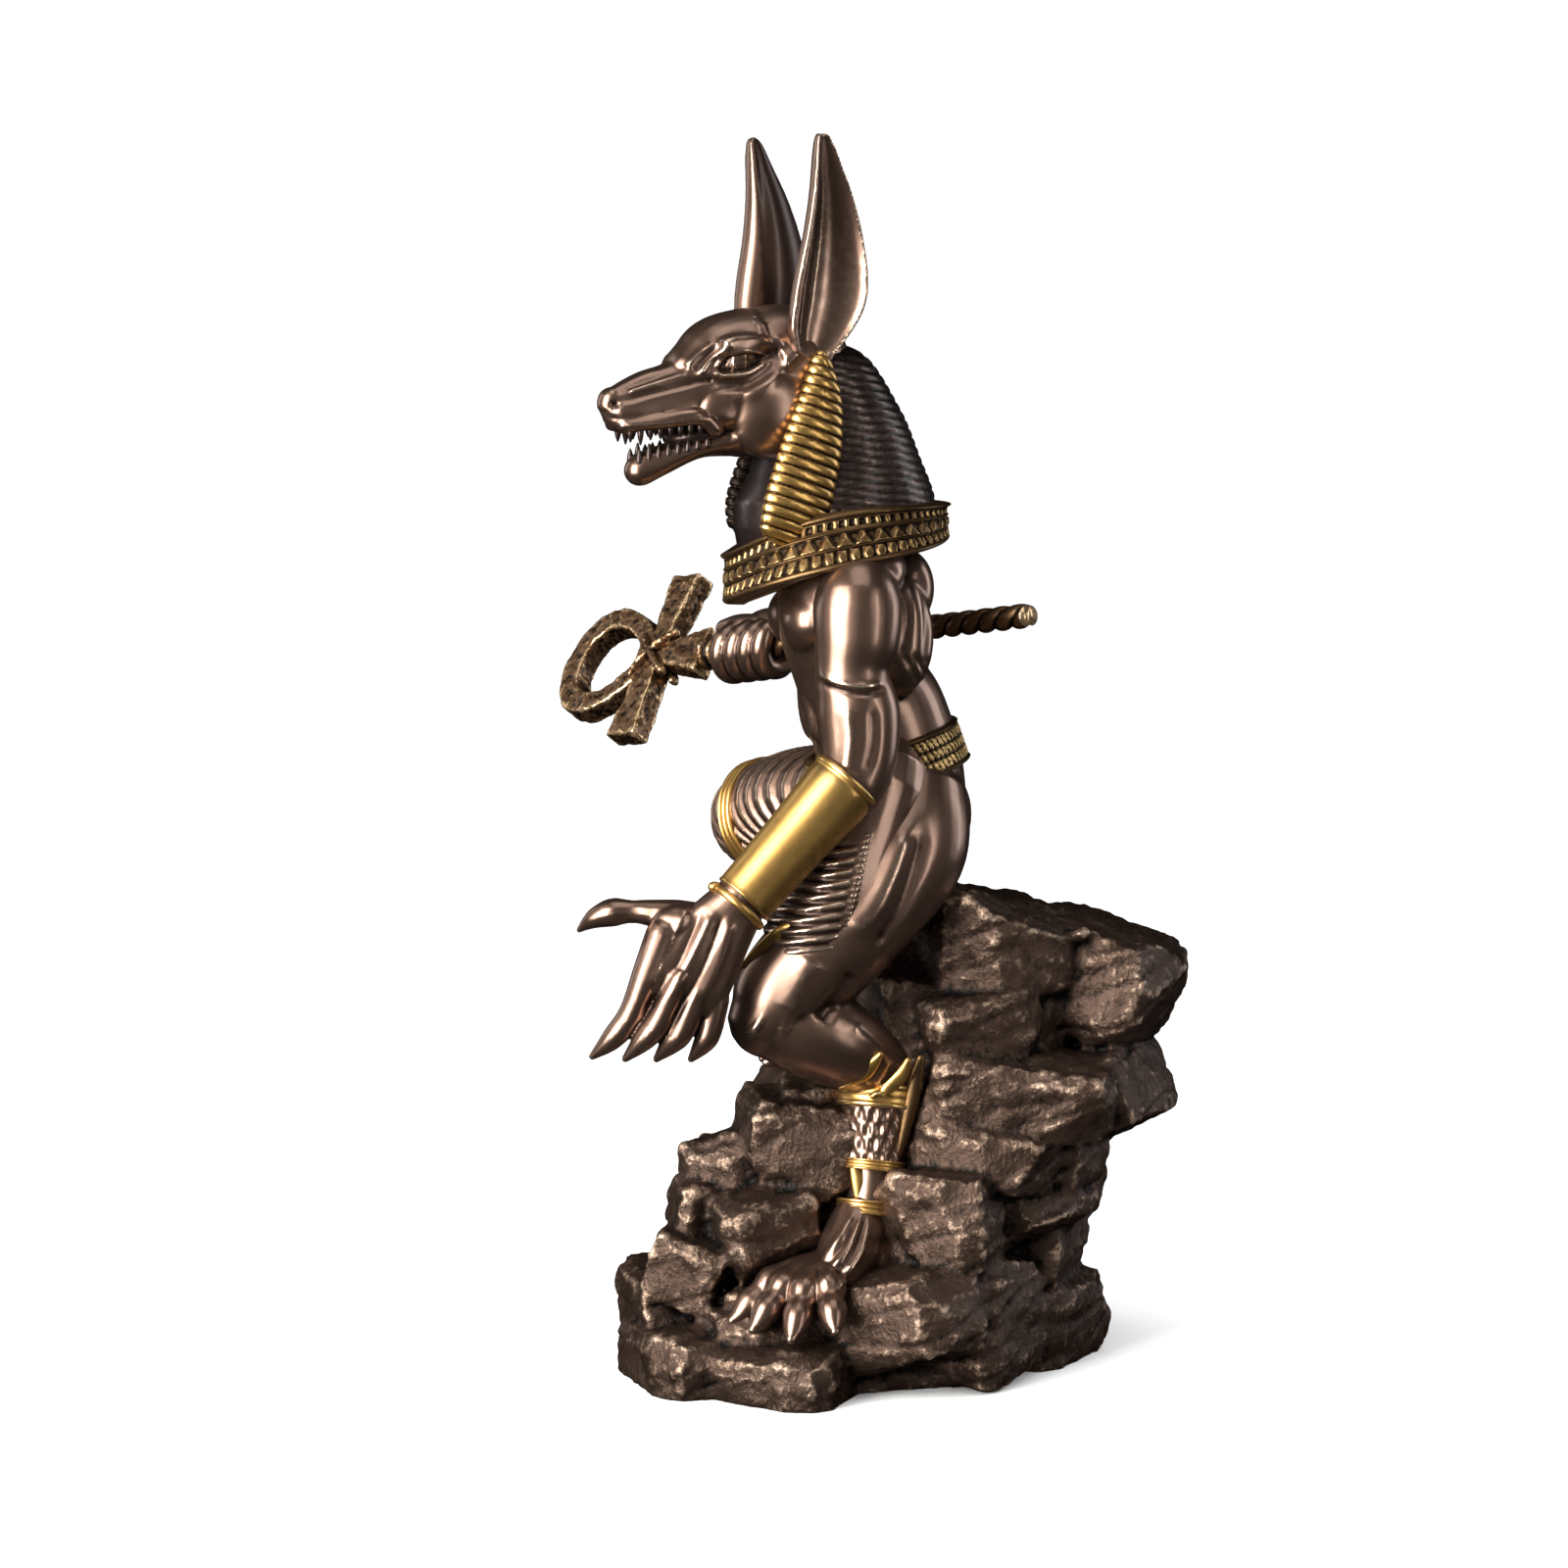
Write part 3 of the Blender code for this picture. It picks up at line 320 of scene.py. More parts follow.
bronzeLook = {
    "dark": (0.050, 0.029, 0.022), "mid": (0.225, 0.142, 0.104), "edge": (0.600, 0.440, 0.330),
    "metallic": 0.96, "smooth": 0.25, "rough": 0.38, "grain": 420, "bump": 0.05, "uneven": 0.14, "coat": 0.25,
}
goldLook = {
    "dark": (0.045, 0.022, 0.008), "mid": (0.580, 0.350, 0.105), "edge": (0.900, 0.660, 0.300),
    "metallic": 0.97, "smooth": 0.25, "rough": 0.44, "grain": 420, "bump": 0.07, "uneven": 0.18, "coat": 0.15,
}
collarLook = {
    "dark": (0.010, 0.006, 0.004), "mid": (0.120, 0.070, 0.030), "edge": (0.560, 0.380, 0.150),
    "metallic": 0.95, "smooth": 0.28, "rough": 0.48, "grain": 700, "bump": 0.20, "uneven": 0.28, "coat": 0.05,
}
agedLook = {
    "dark": (0.010, 0.006, 0.004), "mid": (0.160, 0.088, 0.042), "edge": (0.660, 0.460, 0.260),
    "metallic": 0.92, "smooth": 0.27, "rough": 0.48, "grain": 500, "bump": 0.26, "uneven": 0.16, "coat": 0.10,
}
clothLook = {
    "dark": (0.008, 0.006, 0.005), "mid": (0.050, 0.034, 0.030), "edge": (0.300, 0.220, 0.180),
    "metallic": 0.92, "smooth": 0.30, "rough": 0.48, "grain": 600, "bump": 0.14, "uneven": 0.18, "coat": 0.20,
}
rockLook = {
    "dark": (0.004, 0.003, 0.002), "mid": (0.060, 0.037, 0.026), "edge": (0.400, 0.290, 0.210),
    "metallic": 0.80, "smooth": 0.27, "rough": 0.48, "grain": 1000, "bump": 1.0, "uneven": 0.30, "coat": 0.0,
}


rubbing = {
    # where each tone stands on the scale of wear and painted light, and the stretch on which the skin gets
    # smoother
    "dark": 0.20, "mid": (0.43, 0.60), "edge": 0.84, "smoother": (0.30, 0.75),
    # larger patches: their scale beside the grain's, the tone of a stain and how sharply it ends
    "patch": 0.12, "stain": (0.50, 0.42, 0.38), "stainEnds": (0.35, 0.65), "coatRough": 0.2, "depth": 0.0004,
}


def addNode(tree, kind, **values):
    node = tree.nodes.new("ShaderNode" + kind)
    for socket, value in values.items():
        node.inputs[socket].default_value = value
    return node


def makeFinish(name, look):
    finish = bpy.data.materials.new(name)
    finish.use_nodes = True
    tree = finish.node_tree
    shader = tree.nodes["Principled BSDF"]
    spot = addNode(tree, "TexCoord")
    # the attribute holds wear together with painted shade and painted highlights
    wearAndPaintedLight = addNode(tree, "Attribute")
    wearAndPaintedLight.attribute_name = "wearAndPaintedLight"
    mottle = addNode(tree, "TexNoise", Scale=look["grain"], Detail=5, Roughness=0.6)
    patches = addNode(tree, "TexNoise", Scale=look["grain"] * rubbing["patch"], Detail=3)
    tree.links.new(spot.outputs["Object"], mottle.inputs["Vector"])
    tree.links.new(spot.outputs["Object"], patches.inputs["Vector"])
    spread = addNode(tree, "Math")  # uneven rubbing of the wax
    spread.operation = 'MULTIPLY_ADD'
    spread.inputs[1].default_value = look["uneven"] * 2
    spread.inputs[2].default_value = -look["uneven"]
    tree.links.new(mottle.outputs["Fac"], spread.inputs[0])
    wornAndLit = addNode(tree, "Math")
    wornAndLit.operation = 'ADD'
    tree.links.new(wearAndPaintedLight.outputs["Fac"], wornAndLit.inputs[0])
    tree.links.new(spread.outputs[0], wornAndLit.inputs[1])
    ramp = addNode(tree, "ValToRGB")
    stops = ramp.color_ramp.elements
    stops[0].position, stops[0].color = rubbing["dark"], (*look["dark"], 1)
    stops[1].position, stops[1].color = rubbing["edge"], (*look["edge"], 1)
    for place in rubbing["mid"]:
        stops.new(place).color = (*look["mid"], 1)
    tree.links.new(wornAndLit.outputs[0], ramp.inputs["Fac"])
    tone = addNode(tree, "ValToRGB")
    tone.color_ramp.elements[0].position, tone.color_ramp.elements[1].position = rubbing["stainEnds"]
    tone.color_ramp.elements[0].color = (*rubbing["stain"], 1)
    tree.links.new(patches.outputs["Fac"], tone.inputs["Fac"])
    tint = addNode(tree, "Mix")
    tint.data_type = 'RGBA'
    tint.blend_type = 'MULTIPLY'
    tint.inputs["Factor"].default_value = look["uneven"] * 2
    tree.links.new(ramp.outputs["Color"], tint.inputs["A"])
    tree.links.new(tone.outputs["Color"], tint.inputs["B"])
    tree.links.new(tint.outputs["Result"], shader.inputs["Base Color"])
    gloss = addNode(tree, "MapRange")
    gloss.inputs["From Min"].default_value, gloss.inputs["From Max"].default_value = rubbing["smoother"]
    gloss.inputs["To Min"].default_value, gloss.inputs["To Max"].default_value = look["rough"], look["smooth"]
    tree.links.new(wornAndLit.outputs[0], gloss.inputs["Value"])
    tree.links.new(gloss.outputs["Result"], shader.inputs["Roughness"])
    shader.inputs["Metallic"].default_value = look["metallic"]
    shader.inputs["Coat Weight"].default_value = look["coat"]
    shader.inputs["Coat Roughness"].default_value = rubbing["coatRough"]
    bump = addNode(tree, "Bump", Strength=look["bump"], Distance=rubbing["depth"])
    tree.links.new(mottle.outputs["Fac"], bump.inputs["Height"])
    tree.links.new(bump.outputs["Normal"], shader.inputs["Normal"])
    return finish


finishes = {
    "bronze": makeFinish("polishedBronze", bronzeLook),
    "gold": makeFinish("rubbedGold", goldLook),
    "collar": makeFinish("antiqueGold", collarLook),
    "aged": makeFinish("agedGold", agedLook),
    "cloth": makeFinish("darkCloth", clothLook),
    "rock": makeFinish("brownStone", rockLook),
}
meshForm = {"many": 15000, "keep": 0.42}  # above so many faces, this share is kept


def dress(piece, finish, node="anubis_figure", reach=8, strength=0.9, paintedLight=None):
    wearAndLightMap(piece, reach, strength, paintedLight)
    if len(piece.data.polygons) > meshForm["many"]:  # a lighter mesh of the same form
        thin = piece.modifiers.new("thin", 'DECIMATE')
        thin.ratio = meshForm["keep"]
        applyModifiers(piece)
    piece.data.materials.clear()
    piece.data.materials.append(finishes[finish])
    piece.data.polygons.foreach_set("use_smooth", np.ones(len(piece.data.polygons), bool))
    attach(piece, "root")
    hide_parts(node)
    print("made", piece.name, len(piece.data.polygons), "faces")


# Head

headForm = {
    "voxel": 0.32, "rounds": 26, "flatten": 0.35,
    # carved lines of the face, the same on both sides: path (side, ahead, height), width, height
    "lines": [
        ([(6.6, 30.6, 227.4), (7.8, 28.2, 230.2), (9.6, 24.8, 233.0)], 0.9, 0.85),
        ([(7.8, 28.0, 226.2), (8.6, 25.8, 229.2), (10.0, 22.6, 231.9)], 0.8, 0.70),
        ([(7.4, 29.3, 226.8), (8.2, 27.0, 229.7), (9.9, 23.7, 232.5)], 0.6, -0.60),
        ([(10.8, 23.7, 232.6), (12.3, 20.0, 234.4), (12.9, 15.0, 234.2), (13.3, 9.0, 233.2)], 1.3, 1.10),
        ([(12.2, 14.6, 236.2), (12.2, 12.2, 236.4)], 1.9, 1.00),
        ([(9.0, 24.0, 228.0), (10.4, 19.0, 228.6), (11.0, 13.0, 229.8), (11.4, 9.5, 230.6)], 2.5, -1.50),
        ([(9.9, 21.5, 228.2), (10.6, 17.8, 228.7)], 1.5, 1.45),
        ([(8.8, 24.9, 227.4), (9.8, 22.3, 230.3), (10.8, 18.0, 231.2), (11.2, 13.6, 230.2)], 0.65, 0.85),
        ([(8.8, 25.3, 226.3), (9.8, 22.0, 225.9), (10.6, 18.0, 226.3), (11.5, 12.4, 228.9)], 0.65, 0.75),
        ([(9.0, 24.2, 227.4), (9.9, 21.9, 229.5), (10.8, 18.0, 230.3), (11.1, 14.6, 229.4)], 0.45, -0.60),
        ([(9.0, 24.2, 227.2), (9.9, 21.6, 226.7), (10.7, 18.0, 227.1), (11.1, 14.6, 229.0)], 0.45, -0.60),
        ([(9.2, 25.5, 224.3), (10.6, 19.0, 223.2), (11.8, 14.0, 225.4), (12.0, 9.4, 229.0)], 1.3, -0.40),
        ([(12.4, 21.5, 221.2), (13.3, 17.5, 222.2), (13.8, 13.0, 224.6), (12.2, 8.6, 229.3),
          (13.4, 5.8, 231.4)], 1.7, 1.05),
        ([(1.5, 48.1, 221.8), (2.6, 40.3, 225.5), (5.4, 32.3, 228.9), (6.1, 30.7, 230.4)], 1.0, 0.50),
        ([(3.8, 43.7, 222.3), (7.5, 30.0, 226.3)], 0.8, 0.45),
        ([(2.4, 45.5, 222.2), (5.5, 35.0, 226.2), (7.0, 30.2, 228.0)], 0.6, -0.35),
        ([(3.7, 45.6, 220.4), (7.6, 30.0, 224.2), (8.7, 25.3, 224.8)], 0.9, -0.65),
        ([(3.5, 46.2, 217.4), (5.9, 34.0, 217.8), (7.8, 28.5, 217.8), (8.8, 24.5, 216.8),
          (9.5, 20.5, 215.2)], 1.6, 0.55),
        ([(4.5, 45.0, 214.9), (7.5, 36.7, 215.3), (9.3, 28.6, 215.8)], 0.8, 0.40),
        ([(5.9, 33.0, 216.3), (8.8, 26.5, 217.4)], 0.7, -0.40),
        ([(3.4, 47.6, 219.4), (4.0, 46.2, 219.8)], 0.8, -1.00),
        ([(1.5, 49.0, 218.0), (3.4, 48.2, 216.8), (4.2, 46.4, 216.4)], 0.6, -0.50),
        ([(2.4, 40.5, 207.6), (5.0, 32.7, 210.2), (6.4, 24.0, 213.4)], 0.7, 0.45),
        ([(8.0, 20.5, 212.2), (9.8, 14.0, 209.2), (10.4, 6.0, 210.0)], 2.2, 0.60),
    ],
}


def addSkull(clay):
    yaw = pose["headYaw"]
    lump(clay, headPt(0, 5, 229), (12.4, 17, 12.6), yaw)
    tube(clay, [(0, 12, 228.5, 11, 12.5), (0, 19, 227.8, 10.8, 11.5), (0, 24, 225.0, 9.3, 9.7),
                (0, 29.5, 221.6, 7.7, 8), (0, 37, 220.2, 6.2, 6.6), (0, 43.4, 218.2, 4.9, 5.5)],
         place=headPt, across=headSide)
    lump(clay, headPt(0, 46.3, 219.6), (3.5, 3, 3.4), yaw)  # nose
    tube(clay, [(0, 10, 214, 8.8, 6.6), (0, 18, 212, 8.4, 4.4), (0, 26, 210, 7, 2.8),
                (0, 34, 207.1, 5.2, 3.3), (0, 39.2, 204.9, 4.0, 3.6)], place=headPt, across=headSide)
    for side in (-1, 1):  # cheeks, brows, roots of the muzzle and lips
        lump(clay, headPt(side * 7.4, 9.5, 218), (6.6, 11.5, 10.6), yaw, pitch=12)
        lump(clay, headPt(side * 7.6, 16, 231.4), (4.4, 8.8, 3.6), yaw + side * 8)
        lump(clay, headPt(side * 5.0, 13, 219.4), (5.2, 15, 7.2), yaw + side * 8)
        tube(clay, [(side * 3.2, 44.4, 215.0, 1.6, 1.8), (side * 5.6, 37, 215.6, 1.7, 1.9),
                    (side * 7.6, 29, 216.6, 1.7, 2.0), (side * 8.4, 24.5, 214, 1.7, 1.8)],
             place=headPt, across=(0, 0, 1), sides=14)


def buildHead():
    clay = bmesh.new()
    addSkull(clay)
    head = oneSkin(fromClay("head", clay), headForm["voxel"], headForm["rounds"])
    lines = carvedLines(headForm)

    def carve(co, no):
        side, ahead, z = headLocal(co)
        return strokeHeight(np.stack([np.abs(side) * headForm["flatten"], ahead, z], -1), lines)

    pressRelief(head, carve)
    dress(head, "bronze", reach=10, strength=0.9)


teethForm = {
    "count": 8, "fang": 1.4, "root": 0.8, "middle": 0.68, "tip": 0.25,
    # first tooth of a row and the step to the next one: side, ahead, height and length
    "upper": ((3.3, 43.0, 213.6, -2.2), (0.62, -2.15, 0.12, 0.1)),
    "lower": ((2.4, 40.4, 207.4, 2.1), (0.6, -2.1, 0.5, -0.08)),
}


def addTooth(clay, side, ahead, z, length):
    root, middle, tip = teethForm["root"], teethForm["middle"], teethForm["tip"]
    tube(clay, [(side, ahead, z - 0.3 * length, root, root), (side, ahead, z + 0.4 * length, middle, middle),
                (side, ahead, z + length, tip, tip)], place=headPt, across=headSide, sides=10, steps=3)


def buildTeeth():
    clay = bmesh.new()
    for side in (-1, 1):
        for k in range(teethForm["count"]):
            for first, step in (teethForm["upper"], teethForm["lower"]):
                out, ahead, z, length = (start + more * k for start, more in zip(first, step))
                addTooth(clay, side * out, ahead, z, length * (teethForm["fang"] if k == 1 else 1.0))
    lump(clay, headPt(0, 25.5, 213), (7.2, 7.6, 3.6), pose["headYaw"], pitch=10)  # dark gums between the jaws
    dress(fromClay("teeth", clay), "cloth", reach=2)


# Ears

earForm = {
    "voxel": 0.34, "points": 27, "skin": 0.8, "root": 229, "tips": {-1: 279.4, 1: 278.3},
    # height, front and back edge, how far out it stands, and depth of the cup
    "rows": [(231, 7.4, -3.0, 13.0, 2.2), (236, 8.8, -7.0, 13.4, 3.0), (241, 8.6, -9.6, 13.9, 3.6),
             (247, 7.8, -10.2, 14.4, 3.8), (256, 6.0, -8.6, 15.0, 3.2), (265, 4.8, -5.6, 15.8, 2.2),
             (273, 4.4, -1.8, 16.6, 1.2), (277.4, 4.1, 0.4, 16.9, 0.6), (279, 3.5, 1.9, 17.0, 0.3)],
    # forms across the ear, from its front edge to the back: height, place and width; then the painted
    # highlight on the near cup and the painted shade on the far ear's back
    "ridge": (0.32, 0.07, 0.07), "fold": (0.55, 0.23, 0.07), "rim": (0.45, 0.965, 0.03),
    "roll": (0.7, 0.1, 0.14), "nearCupHighlight": 0.15, "far": -0.55,
}


def swell(form, share, scale=1.0):
    height, place, width = form
    return height * scale * math.exp(-((share - place) / width) ** 2)


def addEar(clay, side):
    # a crescent section that opens outward, from the skull up to a point
    loops = []
    for z, front, back, out, cup in flowRows(earForm["rows"], 8):
        outer, inner = [], []
        for k in range(earForm["points"]):
            share = k / (earForm["points"] - 1)
            ahead = front + (back - front) * share
            bulge = cup * math.sin(math.pi * min(1.0, share * 1.05)) ** 0.8
            ridge, fold = swell(earForm["ridge"], share, cup), swell(earForm["fold"], share, cup)
            rim = swell(earForm["rim"], share, min(1.0, cup))
            thick = earForm["skin"] + swell(earForm["roll"], share) * min(1.0, cup)
            if k in (0, earForm["points"] - 1):
                thick *= 0.5  # the edges are thinner
            outer.append(headPt(side * (out - bulge - thick * 1.2), ahead, z) * mm)
            inner.append(headPt(side * (out - bulge + thick + ridge - fold + rim), ahead, z) * mm)
        loops.append(outer + inner[::-1])
    root = headPt(side * 12, 2.5, earForm["root"]) * mm
    tip = headPt(side * 17, 2.5, earForm["tips"][side]) * mm
    closeTube(clay, loops, root, tip)


def buildEars():
    clay = bmesh.new()
    for side in (-1, 1):
        addEar(clay, side)

    def paintedLight(co, no):  # painted light: a painted highlight on the cup of the near ear, and painted shade on the back of the far one
        side, ahead = headLocal(co)[:2]
        cup = np.clip((4.6 - ahead) / 2.6, 0, 1) * np.clip(no[:, 0] * 2, 0, 1)
        return np.where(side > 0, earForm["nearCupHighlight"] * cup, earForm["far"] * cup)

    ears = oneSkin(fromClay("ears", clay), earForm["voxel"], rounds=3)
    dress(ears, "bronze", reach=12, strength=0.6, paintedLight=paintedLight)


# Headdress: striped cloth over the skull, with a lappet before each shoulder

headdressForm = {
    "voxel": 0.5, "lappetVoxel": 0.34, "hem": 188, "hemDrop": 0.16, "back": 9,
    # furrows of the cloth, above the rows of beads, as pitch, slant, depth and width
    "rib": 1.9, "ribSlant": 0.12, "ribDepth": 0.26, "ribWidth": 0.32, "ribTop": 231,
    "beadTop": 196.5, "bead": 2.2, "beadsAround": 46, "beadRise": 0.35, "throat": 2,
    # bands of the lappets, and how much painted shade the far lappet gets where it turns to the throat
    "band": 2.5, "bandSlant": 0.34, "bandDepth": 0.62, "bandWidth": 0.28, "bandRise": 0.18, "inside": -0.45,
}


def buildHeaddress():
    clay = bmesh.new()
    tube(clay, [(0, -2.5, 229, 11, 6.6), (0, -5.6, 224, 14.2, 12.6), (0, -7.8, 215, 17, 16.6),
                (0, -9.4, 206, 19, 19.4), (0, -9.8, 197, 20.5, 23.4), (0, -9, 189, 21, 23)],
         place=headPt, across=headSide, sides=48)
    cloth = oneSkin(fromClay("headdress", clay), headdressForm["voxel"], rounds=3)
    form = headdressForm
    co = coords(cloth.data)
    ahead, z = headLocal(co / mm)[1:]
    hem = form["hem"] - form["hemDrop"] * np.clip(ahead + form["back"], 0, 23)
    co[:, 2] = np.maximum(z, hem) * mm  # it ends inside the collar
    setCoords(cloth.data, co)

    def ribs(co, no):
        side, ahead, z = headLocal(co)
        gap = seamGap(z - form["ribSlant"] * ahead, form["rib"])
        furrow = 0.06 - form["ribDepth"] * np.exp(-(gap / form["ribWidth"]) ** 2)
        furrow = furrow * (z < form["ribTop"]) * (z > form["beadTop"])
        angle = np.arctan2(side, ahead + form["back"])
        beads = form["beadRise"] * np.cos(angle * form["beadsAround"]) * np.cos(2 * np.pi * z / form["bead"])
        return (furrow + beads * (z < form["beadTop"])) * (ahead < form["throat"])  # plain at the throat

    def bands(co, no):
        ahead, z = headLocal(co)[1:]
        gap = seamGap(z - form["bandSlant"] * ahead, form["band"])
        return form["bandRise"] - form["bandDepth"] * np.exp(-(gap / form["bandWidth"]) ** 2)

    def paintedLight(co, no):  # painted shade on the far lappet, darker where it turns to the throat
        return form["inside"] * np.clip(no[:, 0] * 2, 0, 1)

    pressRelief(cloth, ribs)
    dress(cloth, "cloth", strength=1.2)
    for side, back, name in ((-1, 7.0, "right_lappet"), (1, 0.0, "left_lappet")):
        clay = bmesh.new()
        tube(clay, [(side * 12.6, 0.8 - back, 229, 2.2, 2.4), (side * 14.6, 1.6 - back, 221, 2.8, 5.0),
                    (side * 15.6, 3.8 - back, 212, 3.4, 7.0), (side * 16.2, 6.2 - back, 204, 3.6, 7.9),
                    (side * 16.4, 8.6 - back, 196, 3.8, 8.2), (side * 15.4, 9.8 - back, 191, 3.2, 7.4)],
             place=headPt, across=headSide)
        lappet = oneSkin(fromClay(name, clay), form["lappetVoxel"], rounds=3)
        pressRelief(lappet, bands)
        if side > 0:
            dress(lappet, "gold", strength=1.1)
        # the far lappet is the same gold as the near one: its darker antique gold finish and the painted
        # shade stand for the shade it lies in
        else:
            dress(lappet, "collar", strength=1.1, paintedLight=paintedLight)


# Collar

collarForm = {
    "around": 600, "centre": -6.5,
    # rows of the pattern, as shares of the way down: copies, top, bottom and depth
    "cells": (64, 0.15, 0.28, 0.65), "darts": (40, 0.38, 0.61, 0.5), "leaves": (60, 0.68, 0.89, 0.45),
    # profile from the inner edge over the top down to the inner edge below: share of the way down, growth
    "profile": [(0.0, -3.2), (-0.03, -0.8), (0.0, 0.2), (0.05, 0.6), (0.10, 0.3), (0.13, -0.1), (0.22, -0.1),
                (0.30, 0.0), (0.34, 0.35), (0.38, 0.0), (0.5, 0.1), (0.6, 0.2), (0.64, 0.5), (0.68, 0.1),
                (0.8, 0.3), (0.88, 0.4), (0.92, 0.9), (0.97, 0.8), (1.01, 0.3), (1.03, -0.8), (1.04, -4.0)],
}


def repeatShare(angle, count):
    # 0 in the middle of each of the copies around the ring, 1 between two of them
    return np.abs(np.mod(angle * count / (2 * np.pi), 1) - 0.5) * 2


def buildCollar():
    angle = 2 * np.pi * np.arange(collarForm["around"]) / collarForm["around"]
    front = (1 - np.cos(angle)) / 2
    sideways = np.abs(np.sin(angle))
    # height and radius of the upper and the lower edge, which hang lower at the front and wider at the sides
    top = 197 - 11.5 * front ** 3
    bottom = 187 + 2.6 * (1 - front) ** 3 - 12.4 * front ** 2.7 - 2 * sideways
    upper = 25.8 - 0.4 * front - 2.0 * sideways
    lower = 26.0 - 1.4 * (1 - front) ** 3 - 1.8 * front + 3.8 * sideways
    rings = []
    for share, grow in flowRows(collarForm["profile"], 5):
        wave = np.zeros(collarForm["around"])
        for row in ("cells", "darts", "leaves"):
            count, start, end, depth = collarForm[row]
            if not (start < share < end and grow > -1):
                continue
            apart = repeatShare(angle, count)
            if row == "cells":  # small square pits
                wave -= depth * (apart < 0.55)
            elif row == "darts":  # they get narrower upward
                wave += depth * np.clip((1 - apart - (end - share) / 0.23 * 0.9) * 4, -1, 1)
            else:  # leaves, narrower at both ends
                wave += depth * np.clip((0.8 - apart - 0.35 * abs((share - 0.785) / 0.105) ** 3) * 4, -1, 1)
        radius = upper + (lower - upper) * np.clip(share, 0, 1) + grow + wave
        z = top + (bottom - top) * share
        rings.append(np.stack([radius * np.sin(angle), radius * np.cos(angle) + collarForm["centre"], z], -1))
    dress(gridPiece("collar", np.array(rings)), "collar", reach=6, strength=1.1)


# Torso and arms

bodyForm = {
    "voxel": 0.55, "rounds": 8, "flatten": 0.3,
    # creases and muscles on the side that is seen: path, width, height
    "lines": [
        ([(31, -9.5, 160.2), (34, -6, 159.0), (35.3, -1, 158.2), (34.5, 4, 158.8)], 0.7, 0.50),
        ([(31, -9.5, 158.6), (34, -6, 157.4), (35.3, -1, 156.6), (34.5, 4, 157.2)], 0.7, -0.50),
        ([(20, 8.5, 182), (19, 9.5, 172), (19, 8, 164)], 1.0, -0.60),
        ([(17, 13, 182), (17, 14, 172), (16, 13, 163)], 1.0, -0.60),
        ([(19, 8.5, 164), (17, 12.5, 157), (15, 15, 149)], 0.8, -0.50),
        ([(19, 11, 164), (17, 15, 157), (15, 17.5, 149)], 0.8, -0.50),
        ([(19, 13.5, 163), (17, 17, 157), (15, 19.5, 150)], 0.8, -0.45),
        ([(36, -4, 153), (37, -3.5, 146), (37, -4.5, 140)], 1.6, 0.60),
        ([(36, 1.5, 153), (36, 1.5, 146), (36, 0, 140)], 1.3, -0.50),
    ],
}


def addTorso(clay):
    tube(clay, [(0, -10, 108, 11, 10), (0, -10, 116, 16, 13), (0, -9.5, 126, 18.5, 14.5),
                (0, -6.9, 137, 17.5, 16), (0, -3.4, 148, 15.6, 15.9), (0, -1.2, 153, 15.8, 15),
                (0, 1.5, 158, 16.5, 14), (0, 3, 168, 20.5, 16), (0, 3.5, 178, 21.5, 16),
                (0, 3.5, 186, 17, 14), (0, 4, 194, 11, 11), (0, 6, 206, 9.5, 10), (0, 7, 218, 9, 9.5)],
         place=torsoPt, sides=36)
    yaw = pose["torsoYaw"]
    for side in (-1, 1):  # chest, flank, shoulder blade, belly, seat and shoulder
        lump(clay, torsoPt(side * 8.5, 13.5, 171), (9.5, 7, 7.5), yaw)
        lump(clay, torsoPt(side * 15, -5, 168), (7, 8, 14), yaw, roll=-side * 8)
        lump(clay, torsoPt(side * 8, -8, 178), (8, 6.5, 9), yaw)
        lump(clay, torsoPt(side * 3.4, 11.5, 155), (3.6, 3.2, 12), yaw)
        lump(clay, torsoPt(side * 9.5, -13.4, 127), (10, 9.6, 12), yaw)
        lump(clay, torsoPt(side * 19, 2, 183), (9, 8, 6.5), yaw, roll=side * 20)


def addLeftArm(clay):
    tube(clay, [(20.5, -1, 182, 7, 7), (25, -1.6, 176.5, 9.6, 9.8), (26.5, -2, 168, 9.4, 9.6),
                (27.2, -3, 160.5, 8, 8.1), (28, -1.6, 152, 8.6, 9.3), (29.5, -1.4, 143, 7.8, 8.6),
                (31, -2.6, 136, 7.2, 7.4)])
    tube(clay, [(31, -2.4, 137, 6.8, 6.8), (34.5, -16, 123.5, 6.6, 6.6), (38, -28, 110.6, 5.6, 5)])


def addRightArm(clay):
    tube(clay, [(-17, -10, 183, 8, 8), (-22.5, -8.6, 182.5, 9, 9), (-30, -5, 181, 8.4, 8.6),
                (-38, 0, 179.5, 7.3, 7.3), (-46, 5.5, 178, 7.2, 7.3), (-53, 10, 176.2, 6.8, 6.6)],
         across=(0, 0, 1))
    tube(clay, [(-53.5, 10, 176, 6.3, 6.3), (-60, -1.5, 171.5, 6.2, 6.2), (-66.5, -12.5, 166, 5, 5.2),
                (-68, -18.5, 162.8, 5, 5)], across=(0, 0, 1))


def buildBody():
    clay = bmesh.new()
    addTorso(clay)
    addLeftArm(clay)
    addRightArm(clay)
    body = oneSkin(fromClay("torso", clay), bodyForm["voxel"], bodyForm["rounds"])
    pressRelief(body, sideRelief(bodyForm))
    dress(body, "bronze", reach=12, strength=0.7)


# Hands

